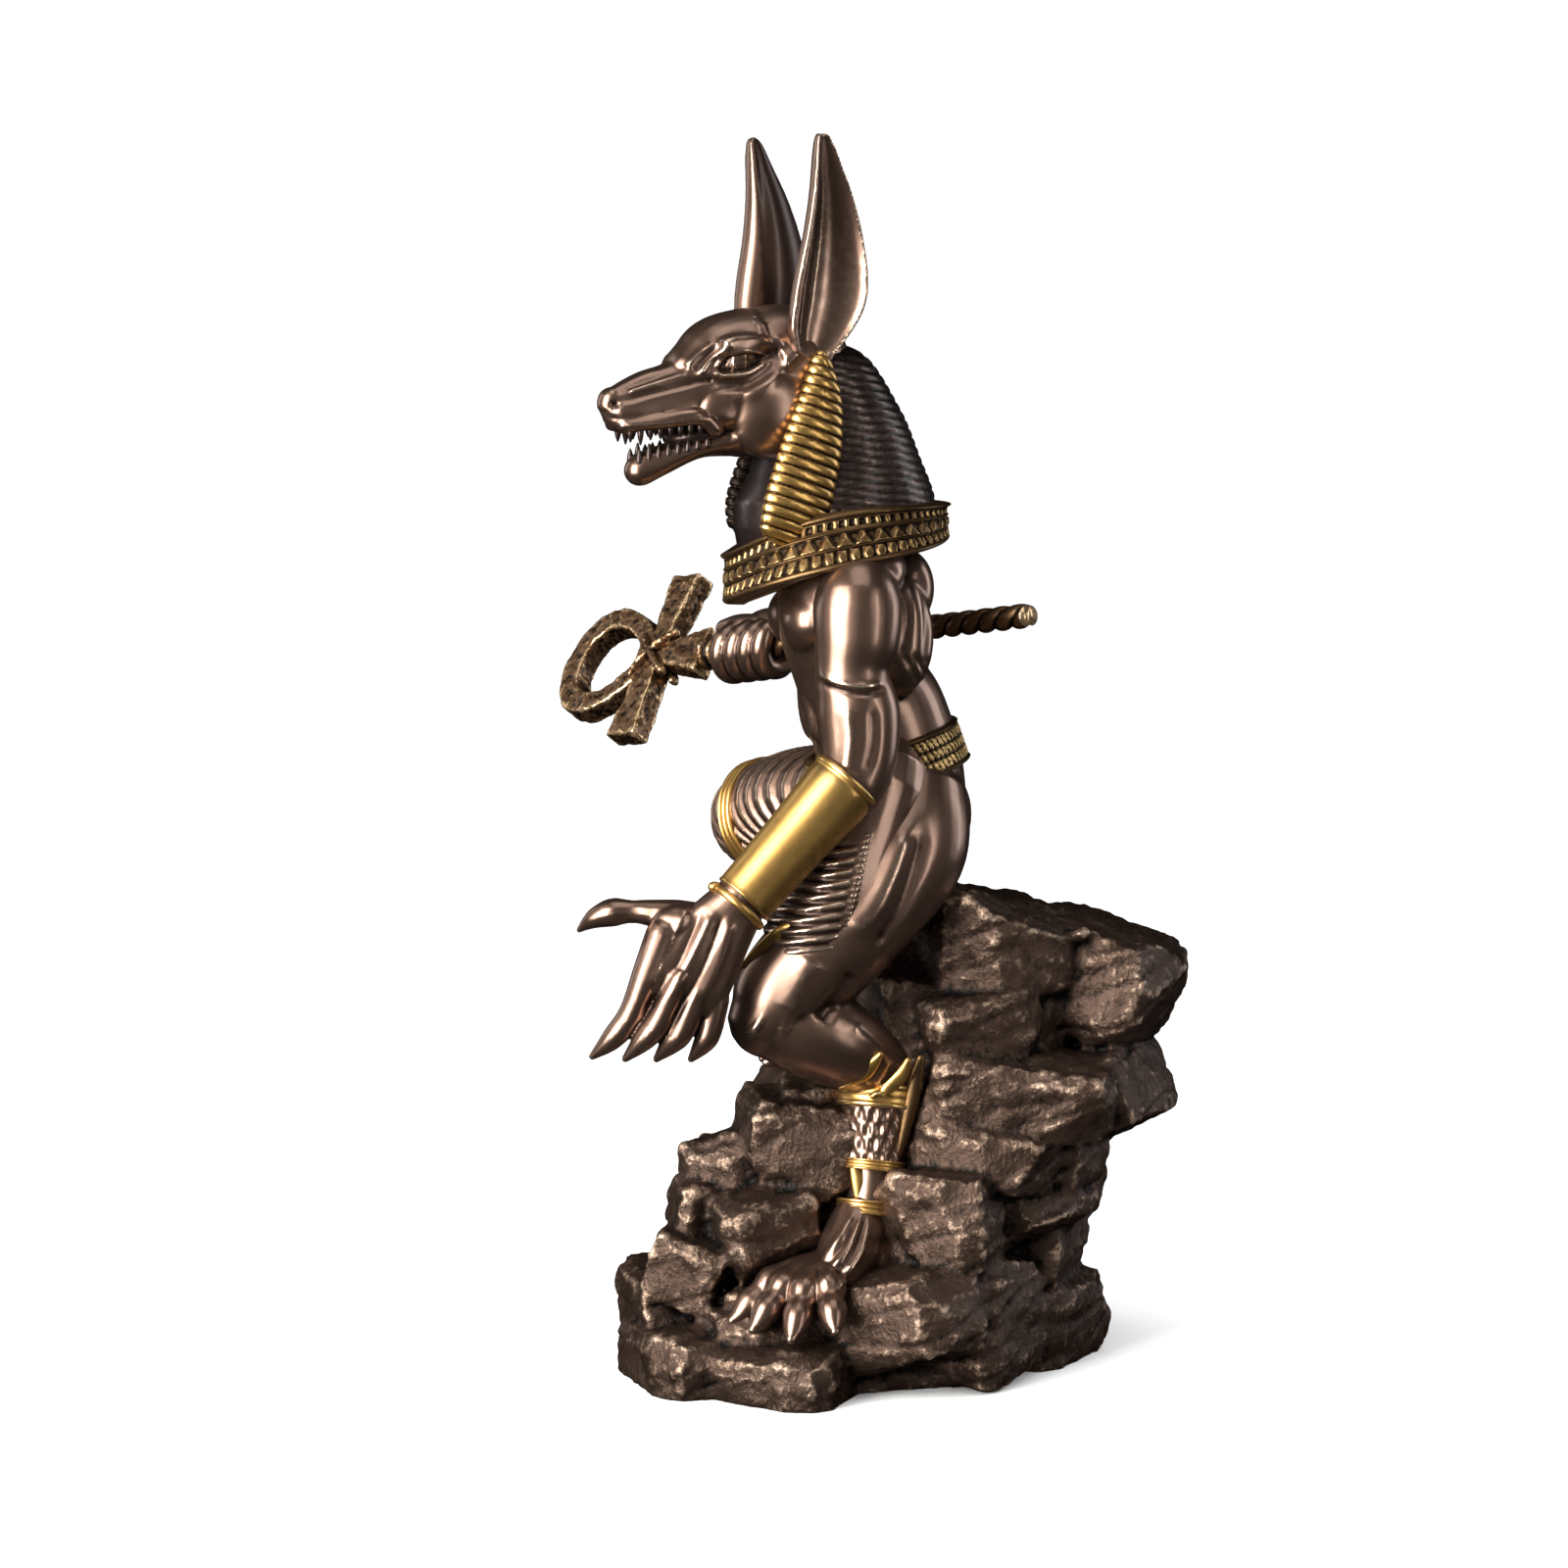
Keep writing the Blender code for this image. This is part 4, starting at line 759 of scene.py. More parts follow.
handForm = {
    "voxel": 0.34, "rounds": 4, "flatten": 0.3,
    # tendons on the back of the left hand: path, width, height
    "lines": [
        ([(44, -38.8, 110.8), (44, -43.8, 100.1), (44, -46.6, 93.7)], 1.1, 0.55),
        ([(44, -33.8, 108.6), (44, -38.1, 99.4), (44, -42.3, 91.5)], 1.1, 0.55),
        ([(44, -29.6, 107.2), (44, -32.4, 98.0), (44, -36.0, 90.8)], 1.1, 0.50),
        ([(44, -36.3, 109.4), (44, -40.6, 99.4), (44, -44.5, 93.0), (44, -48.2, 87.5)], 0.9, -0.60),
        ([(44, -31.7, 108.0), (44, -35.2, 98.7), (44, -39.2, 90.8), (44, -42.5, 85.5)], 0.9, -0.60),
        ([(44, -49.0, 109.6), (44, -47.0, 107.4)], 1.0, 0.35),
        ([(44, -51.0, 107.4), (44, -51.6, 104.4)], 0.7, -0.40),
    ],
}


def buildLeftHand():
    clay = bmesh.new()
    tube(clay, [(38, -27, 112, 6, 5.2), (39.5, -33.5, 103.5, 8.4, 5), (41.3, -39, 94.5, 9.8, 4.4),
                (41.5, -41.5, 90.5, 9.4, 3.8)], across=(0, 0.83, -0.56))
    fingers = [
        [(40.4, -44.6, 104, 4.2, 3.9), (41.3, -47.6, 96.5, 3.9, 3.5), (41.5, -51.3, 87, 3.2, 3.0),
         (41, -55.6, 81.2, 2.8, 2.6), (40, -60.1, 77, 0.9, 0.9)],
        [(43, -41.2, 95, 3.5, 3.3), (43.5, -45, 86, 3.3, 3.0), (43, -48.6, 81.3, 2.9, 2.6),
         (42, -52.8, 76.8, 0.9, 0.9)],
        [(42.5, -37.2, 92, 3.4, 3.2), (43, -40.2, 83.5, 3.2, 2.9), (42, -42.8, 80.2, 2.8, 2.5),
         (41, -46, 76.6, 0.9, 0.9)],
        [(40.5, -32.8, 90, 3.2, 3.0), (41, -34.4, 82.6, 3.0, 2.8), (40.5, -36, 79.6, 2.6, 2.3),
         (40, -38.4, 76.4, 0.9, 0.9)],
        [(38, -33, 106, 3.8, 4), (37.4, -41, 107.4, 4.0, 4.0), (36.8, -47.5, 108.4, 3.0, 3.0),
         (36.4, -51.5, 108.6, 2.6, 2.6), (36, -55.6, 108.4, 3.5, 3.2), (35.4, -59.2, 107.2, 2.7, 2.5),
         (34.6, -61.6, 105.6, 1.6, 1.5), (34.2, -63.2, 104.2, 0.7, 0.7)],
    ]
    for finger in fingers:
        tube(clay, finger, sides=14, steps=5)
    lump(clay, pt(39.4, -41, 105.6), (4, 6.4, 5))  # root of the thumb
    hand = oneSkin(fromClay("left_hand", clay), handForm["voxel"], handForm["rounds"])
    pressRelief(hand, sideRelief(handForm))
    dress(hand, "bronze", reach=10, strength=0.9)


fistForm = {
    "finger": 2.9, "rod": 3.2, "apart": 4.7, "skew": 1.6, "slim": 0.9, "palm": (5.2, 10.4, 7.6),
    # round the rod: angle and thickness of a finger, then angle, place along it and thickness of the thumb
    "curl": ((200, 1.0), (250, 1.08), (300, 1.0), (350, 0.98), (35, 0.9), (75, 0.7)),
    "thumb": ((170, 4.0, 1.3), (130, -0.5, 1.25), (100, -5.5, 1.15), (85, -9.5, 0.85)),
}


def buildRightFist():
    clay = bmesh.new()
    up = (Vector((0, 0, 1)) - rodWay * rodWay.z).normalized()
    inward = -rodWay.cross(up)
    if inward.x < 0:
        inward = -inward
    finger = fistForm["finger"]
    reach = fistForm["rod"] + finger * 0.8
    palm = gripPt - inward * reach * 0.95 + up * reach * 0.35
    roundForm(clay, palm, fistForm["palm"], Matrix((inward, rodWay, up)).transposed().to_4x4())
    for k in range(4):
        stations = []
        for degrees, thick in fistForm["curl"]:
            a = math.radians(degrees)
            point = gripPt + rodWay * ((k - 1.5) * fistForm["apart"] + fistForm["skew"] * math.sin(a))
            point += (inward * math.cos(a) + up * math.sin(a)) * reach
            stations.append((*point, finger * thick * fistForm["slim"], finger * thick * fistForm["slim"]))
        tube(clay, stations, across=rodWay, sides=14, steps=4)
    thumb = []
    for degrees, along, thick in fistForm["thumb"]:
        a = math.radians(degrees)
        point = gripPt + rodWay * along + (inward * math.cos(a) + up * math.sin(a)) * reach
        thumb.append((*point, finger * thick, finger * thick))
    tube(clay, thumb, across=rodWay, sides=14, steps=4)
    dress(oneSkin(fromClay("right_fist", clay), handForm["voxel"], rounds=3), "bronze", reach=10)


# Bracers

bracerForm = {
    "around": 120, "wall": 1.0,
    # elbow end, wrist end and the arm's radius at either
    "left_bracer": ((31.2, -4.0, 137.2), (37.8, -27.0, 111.4), 7.1, 5.9),
    "right_bracer": ((-54.6, 8, 175.2), (-65, -10, 167.3), 6.6, 5.6),
}


def cuff(name, low, high, radii, finish, steps=5):
    # turned ring between two points: radii are (share along, radius)
    low, high = Vector(low), Vector(high)
    way = (high - low).normalized()
    side = Vector((1, 0, 0)) - way * way.x
    side.normalize()
    deep = way.cross(side)
    angle = 2 * np.pi * np.arange(bracerForm["around"]) / bracerForm["around"]
    around = np.outer(np.cos(angle), side) + np.outer(np.sin(angle), deep)
    rows = flowRows(radii, steps)
    rings = [np.array(low.lerp(high, share)) + around * radius for share, radius in rows]
    piece = gridPiece(name, np.array(rings))
    dress(piece, finish, strength=1.4)
    return piece


def buildBracers():
    for name in ("left_bracer", "right_bracer"):
        elbow, wrist, wide, slim = bracerForm[name]
        wide, slim = wide + bracerForm["wall"], slim + bracerForm["wall"]
        cuff(name, elbow, wrist,
             [(0.0, wide - 1.5), (-0.005, wide + 0.1), (0.012, wide + 0.5), (0.03, wide + 0.3), (0.045, wide),
              (0.12, wide), (0.5, (wide + slim) / 2 - 0.1), (0.95, slim + 0.1), (0.985, slim + 0.2),
              (1.0, slim - 0.1), (1.0, slim - 1.5)], "gold")
        cuff(name + "_ring", elbow, wrist,
             [(1.035, slim - 1.5), (1.03, slim - 0.1), (1.045, slim + 0.4), (1.065, slim + 0.4),
              (1.08, slim - 0.1), (1.07, slim - 1.5)], "gold")
    clay = bmesh.new()  # knot of the wrist ring
    lump(clay, pt(40.2, -33.2, 114.6), (1.3, 1.5, 1.2))
    dress(fromClay("left_ring_knot", clay), "gold", reach=2)


# Belt and kilt

beltForm = {
    "around": 400, "middle": (0, 5.2, 138.8), "up": (0, -0.29, 0.957), "width": 9.5, "wide": 18.6,
    "thick": 17.7, "tiles": 72, "tileRows": 3, "groove": 0.45,
    # profile from the inner edge below over the face to the inner edge above: share of the half-width, growth
    "profile": [(-1.0, -2.0), (-1.02, 0.2), (-0.92, 1.0), (-0.8, 0.7), (-0.5, 0.7), (0.0, 0.6), (0.5, 0.5),
                (0.8, 0.3), (0.92, 0.5), (1.02, -0.4), (1.0, -2.0)],
}


def buildBelt():
    count = beltForm["around"]
    angle = 2 * np.pi * np.arange(count) / count
    tilt, side = np.array(beltForm["up"]), np.array(torsoSide)
    deep = np.cross(tilt, side)
    rings = []
    for share, grow in flowRows(beltForm["profile"], 6):
        wave = np.zeros(count)
        if abs(share) < 0.82 and grow > 0:  # slanted tiles in rows
            slot = np.abs(np.mod(angle * beltForm["tiles"] / (2 * np.pi) + 0.8 * share, 1) - 0.5)
            wave -= beltForm["groove"] * (slot > 0.38)
            row = abs((share + 0.82) / 1.64 * beltForm["tileRows"] % 1 - 0.5)
            wave -= beltForm["groove"] * (row > 0.40)
        centre = beltForm["middle"] + tilt * share * beltForm["width"] / 2
        wide, thick = beltForm["wide"] + grow + wave, beltForm["thick"] + grow + wave
        rings.append(centre + np.outer(wide * np.cos(angle), side) + (thick * np.sin(angle))[:, None] * deep)
    dress(gridPiece("belt", np.array(rings)), "collar", reach=6, strength=2.2)


kiltForm = {
    "voxel": 0.42, "panelPleat": 2.3, "thighPleat": 2.7, "panelDepth": 0.30, "thighDepth": 0.36,
    # the panel ends along a line from the hip to the knee, seen from the side, with beads on it
    "edgeAt": (-0.6, 120), "edgeLean": 0.24, "bead": 1.3, "beadRise": 0.55, "beadWidth": 0.6,
    # thighs that the cloth lies on, and how far it stands off from each
    "left": [(13, 2, 134, 14, 13), (17, -2, 122, 14, 13.6), (20.5, -5.6, 111, 13.6, 12.4),
             (23.6, -12, 100, 12.2, 11)],
    "right": [(-12, 3, 129, 13, 13.4), (-22, -3, 125.5, 13.4, 13.4), (-33, -13.6, 124, 12.6, 12.8),
              (-44, -23, 120.5, 11, 11.2)],
    "leftCloth": 0.3, "rightCloth": 1.3,
}


def overThigh(side):
    cloth = kiltForm[side + "Cloth"]
    return [(*row[:3], row[3] + cloth, row[4] + cloth) for row in kiltForm[side]]


def buildKilt():
    clay = bmesh.new()
    tube(clay, overThigh("left"))
    tube(clay, overThigh("right"), across=(0, 0, 1))
    tube(clay, [(0, -4, 136, 16, 7), (-3, -8.5, 124, 19, 6), (-6, -13, 112, 20, 4.4),
                (-9, -17, 103, 19, 2.6)])  # apron between the thighs
    kilt = oneSkin(fromClay("kilt", clay), kiltForm["voxel"], rounds=5)

    def pleats(co, no):
        x, y, z = co.T
        left = x > 6
        beyond = (y - kiltForm["edgeAt"][0] - (z - kiltForm["edgeAt"][1]) * kiltForm["edgeLean"]) * 0.85
        panel = (z - 0.12 * y) / kiltForm["panelPleat"]
        thigh = (x * 0.9 + z * 0.55 - y * 0.25) / kiltForm["thighPleat"]
        phase = np.where(left, panel, thigh)
        pleat = np.where(left, kiltForm["panelDepth"], kiltForm["thighDepth"]) * np.cos(2 * np.pi * phase)
        inside = np.where(left, np.clip(-beyond - 0.8, 0, 1) * np.clip((124 - z) / 2, 0, 1), 1)
        beads = kiltForm["beadRise"] * np.exp(-(beyond / kiltForm["beadWidth"]) ** 2)
        beads = beads * (0.6 + 0.4 * np.cos(2 * np.pi * z / kiltForm["bead"]))
        return pleat * inside + beads * left * (z < 125)

    pressRelief(kilt, pleats)
    dress(kilt, "bronze", strength=1.3)
    clay = bmesh.new()  # gold hem that runs down to the knee
    tube(clay, [(32.6, -15.4, 104.8, 1.8, 0.8), (31.6, -18.0, 103.0, 2.4, 0.8), (30.4, -22.4, 99.4, 2.0, 0.8),
                (29.0, -27.0, 95.4, 0.8, 0.6)], across=(0.3, 0.5, 0.8), sides=16)
    dress(fromClay("kilt_hem", clay), "gold", reach=3)
    for k, (share, grow) in enumerate(((0.76, 1.0), (0.87, 1.1), (0.98, 1.2))):  # rims at the raised knee
        low, high = Vector(kiltForm["right"][2][:3]), Vector(kiltForm["right"][3][:3])
        radius = 13.6 - 1.4 * share + grow
        cuff(f"knee_rim_{k + 1}", low.lerp(high, share - 0.04), low.lerp(high, share + 0.06),
             [(0.0, radius - 2.5), (0.0, radius - 0.3), (0.3, radius + 0.4), (0.7, radius + 0.4),
              (1.0, radius - 0.3), (1.0, radius - 2.5)], "gold")


# Legs and feet

legForm = {
    "voxel": 0.6, "rounds": 8, "footVoxel": 0.34, "footRounds": 3, "flatten": 0.3,
    # muscles and tendons on the side that is seen: path, width, height
    "lines": [
        ([(30, 9.2, 125), (31, 5.6, 116), (33, 1.4, 108), (33, -2.8, 104)], 2.4, 0.90),
        ([(27, 12.6, 125), (29, 10.2, 116), (31, 7.2, 108), (32, 2.4, 100.5)], 2.0, -0.80),
        ([(34, -11.5, 98), (33, -14.5, 92), (32, -17.0, 86.5)], 2.6, 0.80),
        ([(33, -2.5, 95), (33, -7.5, 88), (33, -9.5, 84)], 2.0, -0.90),
        ([(32, -25.0, 83), (32, -23.6, 82)], 2.6, 0.80),
        ([(34, -18.6, 83.4), (34, -16.5, 82.4)], 2.2, 0.50),
        ([(33, -2.5, 82.5), (31, 2.5, 77.5), (28, 6.0, 72)], 1.6, 0.60),
    ],
    # sinews of the left foot and knuckles of its toes: path, width, height
    "footLines": [
        ([(32, -2.5, 40), (34, -6.0, 34.5), (36, -9.5, 30.5), (37, -12.5, 28)], 0.9, 0.60),
        ([(32, -0.8, 39.5), (35, -3.6, 33.5), (38, -7.0, 29.5), (40, -9.5, 27)], 0.9, 0.60),
        ([(32, 1.2, 39), (35, -0.8, 32.5), (39, -3.6, 28.6), (42, -5.5, 26)], 0.9, 0.60),
        ([(32, -1.6, 39.5), (35, -4.8, 33.8), (38, -8.2, 30)], 0.7, -0.55),
        ([(32, 0.2, 39), (35, -2.2, 33), (39, -5.3, 29)], 0.7, -0.55),
    ],
}


def addLeftLeg(clay):
    tube(clay, [(11, 10.5, 129, 12, 13.5), (15, 8.5, 120, 13.5, 14.6), (19.5, 1, 110, 13.6, 14),
                (23.5, -9, 98.5, 12, 12.8), (26, -18, 89, 10.6, 11.6), (26.5, -21.5, 83.5, 9.2, 9.2)])
    tube(clay, [(26.5, -20.4, 83, 8.8, 9), (25.5, -13, 80.6, 10, 10.6), (23.5, -5.5, 77, 9.4, 10),
                (20.5, 1.5, 72.4, 7.2, 8), (17.5, 6.5, 68, 5.8, 6), (16.5, 7, 62, 5, 5.4)])
    lump(clay, pt(27.5, -24.8, 83.4), (6, 5, 5.6))  # knee
    lump(clay, pt(23, 2.6, 28.5), (6.4, 6.2, 7))  # heel
    tube(clay, [(16.5, 4, 66, 7, 8), (17, 3, 58, 6.2, 6.9), (18.6, 2.4, 50, 5.6, 5.8),
                (21, 1.5, 42, 5.2, 5.4), (22.8, 0.4, 37, 5.8, 5.8), (25.8, -2.6, 30.5, 8, 6.6),
                (29, -6, 25, 8.6, 5.4)])


def addRightLeg(clay):
    tube(clay, [(-10, 8, 127, 11, 12), (-16, 5, 124.5, 13, 13.5), (-26, -4, 122.5, 13, 13),
                (-36, -15, 121.5, 11.5, 11.6), (-43, -22, 120.5, 9.6, 9.8)])
    tube(clay, [(-43, -21, 119.5, 8.8, 8.8), (-42, -10, 113, 9, 9), (-39.5, 3, 105.5, 8, 8.4),
                (-37, 14, 99, 5.6, 6), (-36, 21, 94.5, 4.6, 4.8)])
    tube(clay, [(-36, 21, 95, 5.4, 6), (-37, 16, 88, 4.8, 5), (-38.5, 9, 79, 4.5, 4.6),
                (-39.5, 4.5, 73.5, 5.6, 5.2), (-40.5, -2, 69, 7.6, 4.8)])


footForm = {
    # a toe from the ankle to the claw: share of its length, radius, and share of its drop
    "toe": ((0.0, 4.6, 0.0), (0.3, 3.7, 0.02), (0.44, 3.3, 0.08), (0.56, 4.0, 0.2), (0.68, 3.1, 0.42),
            (0.8, 3.4, 0.62), (0.91, 2.5, 0.86), (1.0, 1.2, 1.0)),
    # ankle, length of the toes, and the way and drop of each
    "left": ((27.6, -9.4, 26.6), 22, [((0.42, -0.91), 9.5), ((0.72, -0.70), 10), ((0.95, -0.32), 11),
                                      ((1.0, 0.12), 9)]),
    "right": ((-40.5, -3, 69), 20, [((0.3, -0.95), 6), ((0.0, -1.0), 6), ((-0.35, -0.93), 6),
                                    ((-0.7, -0.7), 6)]),
}


def addToes(clay, foot):
    ankle, length, toes = footForm[foot]
    for (dx, dy), drop in toes:
        ahead = Vector((dx, dy, 0)).normalized()
        stations = []
        for share, radius, sink in footForm["toe"]:
            point = Vector(ankle) + ahead * length * share
            stations.append((point.x, point.y, point.z - drop * sink, radius, radius))
        tube(clay, stations, across=(-ahead.y, ahead.x, 0), sides=14, steps=4)


def buildLegs():
    clay = bmesh.new()
    addLeftLeg(clay)
    addRightLeg(clay)
    legs = oneSkin(fromClay("legs", clay), legForm["voxel"], legForm["rounds"])
    pressRelief(legs, sideRelief(legForm))
    dress(legs, "bronze", reach=12, strength=0.7)
    clay = bmesh.new()
    addToes(clay, "left")
    addToes(clay, "right")
    tube(clay, [(24.4, -1.4, 36.5, 6.4, 6.4), (27, -3.4, 31, 8.4, 7.0), (30, -6.0, 26, 8.8, 5.8)])
    feet = oneSkin(fromClay("feet", clay), legForm["footVoxel"], legForm["footRounds"])
    pressRelief(feet, sideRelief({"flatten": legForm["flatten"], "lines": legForm["footLines"]}))
    dress(feet, "bronze", reach=8)


# Greaves: a cuff below the knee, straps down to the hock and two bands above the foot

greaveForm = {
    # ankle and hock of each leg, then the bands: share of the way up, width and radius
    "left_greave": ((22.2, 1.0, 38.5), (16.9, 3.6, 64)),
    "right_greave": ((-39.3, 6.0, 75.0), (-36.3, 19.5, 92)),
    "bands": ((0.90, 0.20, 9.2), (0.36, 0.09, 7.3), (-0.02, 0.12, 7.3)),
    "shin": [(0.0, 5.4), (0.02, 6.6), (0.2, 6.9), (0.4, 7.2), (0.6, 7.5), (0.8, 7.9), (0.98, 8.2),
             (1.0, 6.4)],
    "straps": [  # x, y, z, half-width, half-thickness
        [(29.6, 3.4, 75.6, 0.8, 0.8), (28.6, 1.2, 72.6, 1.6, 0.8), (27.6, -1.6, 69.6, 1.6, 0.8),
         (25.6, -5.0, 67.6, 1.3, 0.8)],
        [(28.0, 9.6, 74.0, 0.8, 0.8), (27.4, 8.2, 70.6, 1.6, 0.8), (26.6, 5.0, 67.4, 1.5, 0.8),
         (26.4, 1.8, 65.8, 1.2, 0.8)],
        [(24.4, 12.6, 74.0, 1.0, 0.8), (24.2, 11.4, 68.4, 1.7, 0.9), (23.8, 9.8, 60.6, 1.5, 0.9),
         (23.4, 7.8, 52.6, 1.0, 0.8), (23.2, 6.0, 47.6, 0.7, 0.7)],
        [(23.6, -2.4, 50.2, 1.1, 0.8), (24.2, -1.6, 46.2, 1.5, 0.8), (24.6, -1.4, 42.6, 1.0, 0.8)],
    ],
}


def buildGreaves():
    for name in ("left_greave", "right_greave"):
        low, high = (Vector(spot) for spot in greaveForm[name])
        for k, (share, width, radius) in enumerate(greaveForm["bands"]):
            start, end = low.lerp(high, share), low.lerp(high, share + width)
            cuff(f"{name}_{k + 1}", start, end,
                 [(0.0, radius - 2), (-0.02, radius), (0.12, radius + 0.4), (0.24, radius), (0.44, radius),
                  (0.5, radius + 0.3), (0.56, radius), (0.76, radius), (0.88, radius + 0.4), (1.02, radius),
                  (1.0, radius - 2)], "gold")
        foot, top = low.lerp(high, 0.42), low.lerp(high, 0.94)
        shin = cuff(name + "_shin", foot, top, greaveForm["shin"], "bronze", steps=16)
        pressRelief(shin, lambda co, no: 0.35 * np.sin(co[:, 1] * 2.4) * np.sin(co[:, 2] * 0.95))  # scales
    for k, strap in enumerate(greaveForm["straps"]):
        clay = bmesh.new()
        tube(clay, strap, across=(0.1, 0.9, 0.4), sides=14)
        dress(fromClay(f"greave_strap_{k + 1}", clay), "collar" if k == 2 else "gold", reach=3)


# Staff: an ankh on a rod of two twisted strands

staffForm = {
    "radius": 2.9, "length": 122.5, "turn": 10.5, "strand": 0.42, "rodRows": 420, "rodSides": 40,
    "voxel": 0.36, "thickness": 6.0, "bevel": 0.6, "arm": 23.6, "stem": 17.5, "waist": 5.4, "flare": 9.8,
    "stemFlare": 12.6, "loop": 34.6, "loopWide": 16.4, "band": 6.1, "pits": 0.34, "grit": 0.10,
}


def teardrop(length, wide, start, points):
    outline = []
    for k in range(points):
        a = 2 * math.pi * k / points
        along = start + length * (1 - math.cos(a)) / 2
        outline.append((along, 1.16 * wide * math.sin(a) * abs(math.sin(a / 2)) ** 0.75))
    return outline


def flatPlate(name, outlines):
    bevel = staffForm["bevel"]
    curve = bpy.data.curves.new(name, 'CURVE')
    curve.dimensions = '2D'
    curve.fill_mode = 'BOTH'
    curve.extrude = (staffForm["thickness"] / 2 - bevel) * mm
    curve.bevel_depth = bevel * mm
    curve.offset = -bevel * mm
    curve.bevel_resolution = 2
    for outline in outlines:
        spline = curve.splines.new('POLY')
        spline.points.add(len(outline) - 1)
        for spot, (x, y) in zip(spline.points, outline):
            spot.co = (x * mm, y * mm, 0, 1)
        spline.use_cyclic_u = True
    source = makePiece(name, curve)
    mesh = bakedMesh(source)
    bpy.data.objects.remove(source)
    return mesh


def buildStaff():
    form = staffForm
    waist, flare, stemFlare = form["waist"] / 2, form["flare"] / 2, form["stemFlare"] / 2
    stem, arm, band = form["stem"], form["arm"], form["band"]
    root = waist * 2.2  # the cross reaches into the loop
    cross = [(-stem, -stemFlare), (-waist, -waist), (-flare, -arm), (flare, -arm), (waist, -waist),
             (root, -waist), (root, waist), (waist, waist), (flare, arm), (-flare, arm),
             (-waist, waist), (-stem, stemFlare)]
    outer = teardrop(form["loop"], form["loopWide"], -waist, 64)
    inner = teardrop(form["loop"] - 2.1 * band, form["loopWide"] - band, -waist + 1.15 * band, 48)
    clay = bmesh.new()
    for outlines in ([cross], [outer, inner]):
        mesh = flatPlate("part", outlines)
        clay.from_mesh(mesh)
        bpy.data.meshes.remove(mesh)
    bmesh.ops.remove_doubles(clay, verts=clay.verts, dist=0.00003)
    ankh = fromClay("ankh", clay)
    oneSkin(ankh, form["voxel"], rounds=2)
    turn = Matrix((-rodWay, crossWay, (-rodWay).cross(crossWay))).transposed().to_4x4()
    place = Matrix.Translation((rodRear - rodWay * form["length"]) * mm) @ turn
    ankh.data.transform(place)

    def rough(co, no):
        pits = np.array([noise.fractal(Vector(p) * 0.26, 0.8, 2.1, 3) for p in co])
        grit = np.array([noise.noise(Vector(p) * 1.3) for p in co])
        return form["pits"] * pits + form["grit"] * grit

    pressRelief(ankh, rough)
    dress(ankh, "aged", node="ankh_staff", strength=1.9)
    clay = bmesh.new()  # binding of the cross and collar of the stem
    for lean in (-1, 1):
        for lift in (-1, 1):
            spots = [(-5.4, lean * -5.4, lift * 2.4), (-2, lean * -2, lift * 3.6), (2, lean * 2, lift * 3.6),
                     (5.4, lean * 5.4, lift * 2.4)]
            tube(clay, [(*spot, 1.5, 1.1) for spot in spots], across=(0, 0, 1), sides=12)
    for along, radius in ((-stem, 4.2), (-stem - 2.6, 3.6)):
        lump(clay, pt(along, 0, 0), (1.5, radius, radius))
    binding = oneSkin(fromClay("ankh_binding", clay), form["voxel"], rounds=2)
    binding.data.transform(place)
    pressRelief(binding, rough)
    dress(binding, "aged", node="ankh_staff", strength=1.5)
    rings = []
    sides = form["rodSides"]
    angle = 2 * np.pi * np.arange(sides) / sides
    for along in np.linspace(4, form["length"], form["rodRows"]):
        spin = 2 * np.pi * along / form["turn"]
        radius = form["radius"] - form["strand"] * 2 * (1 - np.abs(np.cos(angle - spin)) ** 0.7)
        rings.append(np.stack([-along * np.ones(sides), radius * np.cos(angle), radius * np.sin(angle)], -1))
    rod = gridPiece("twisted_rod", np.array(rings))
    rod.data.transform(place)
    dress(rod, "aged", node="ankh_staff", strength=1.3)


# Rocks

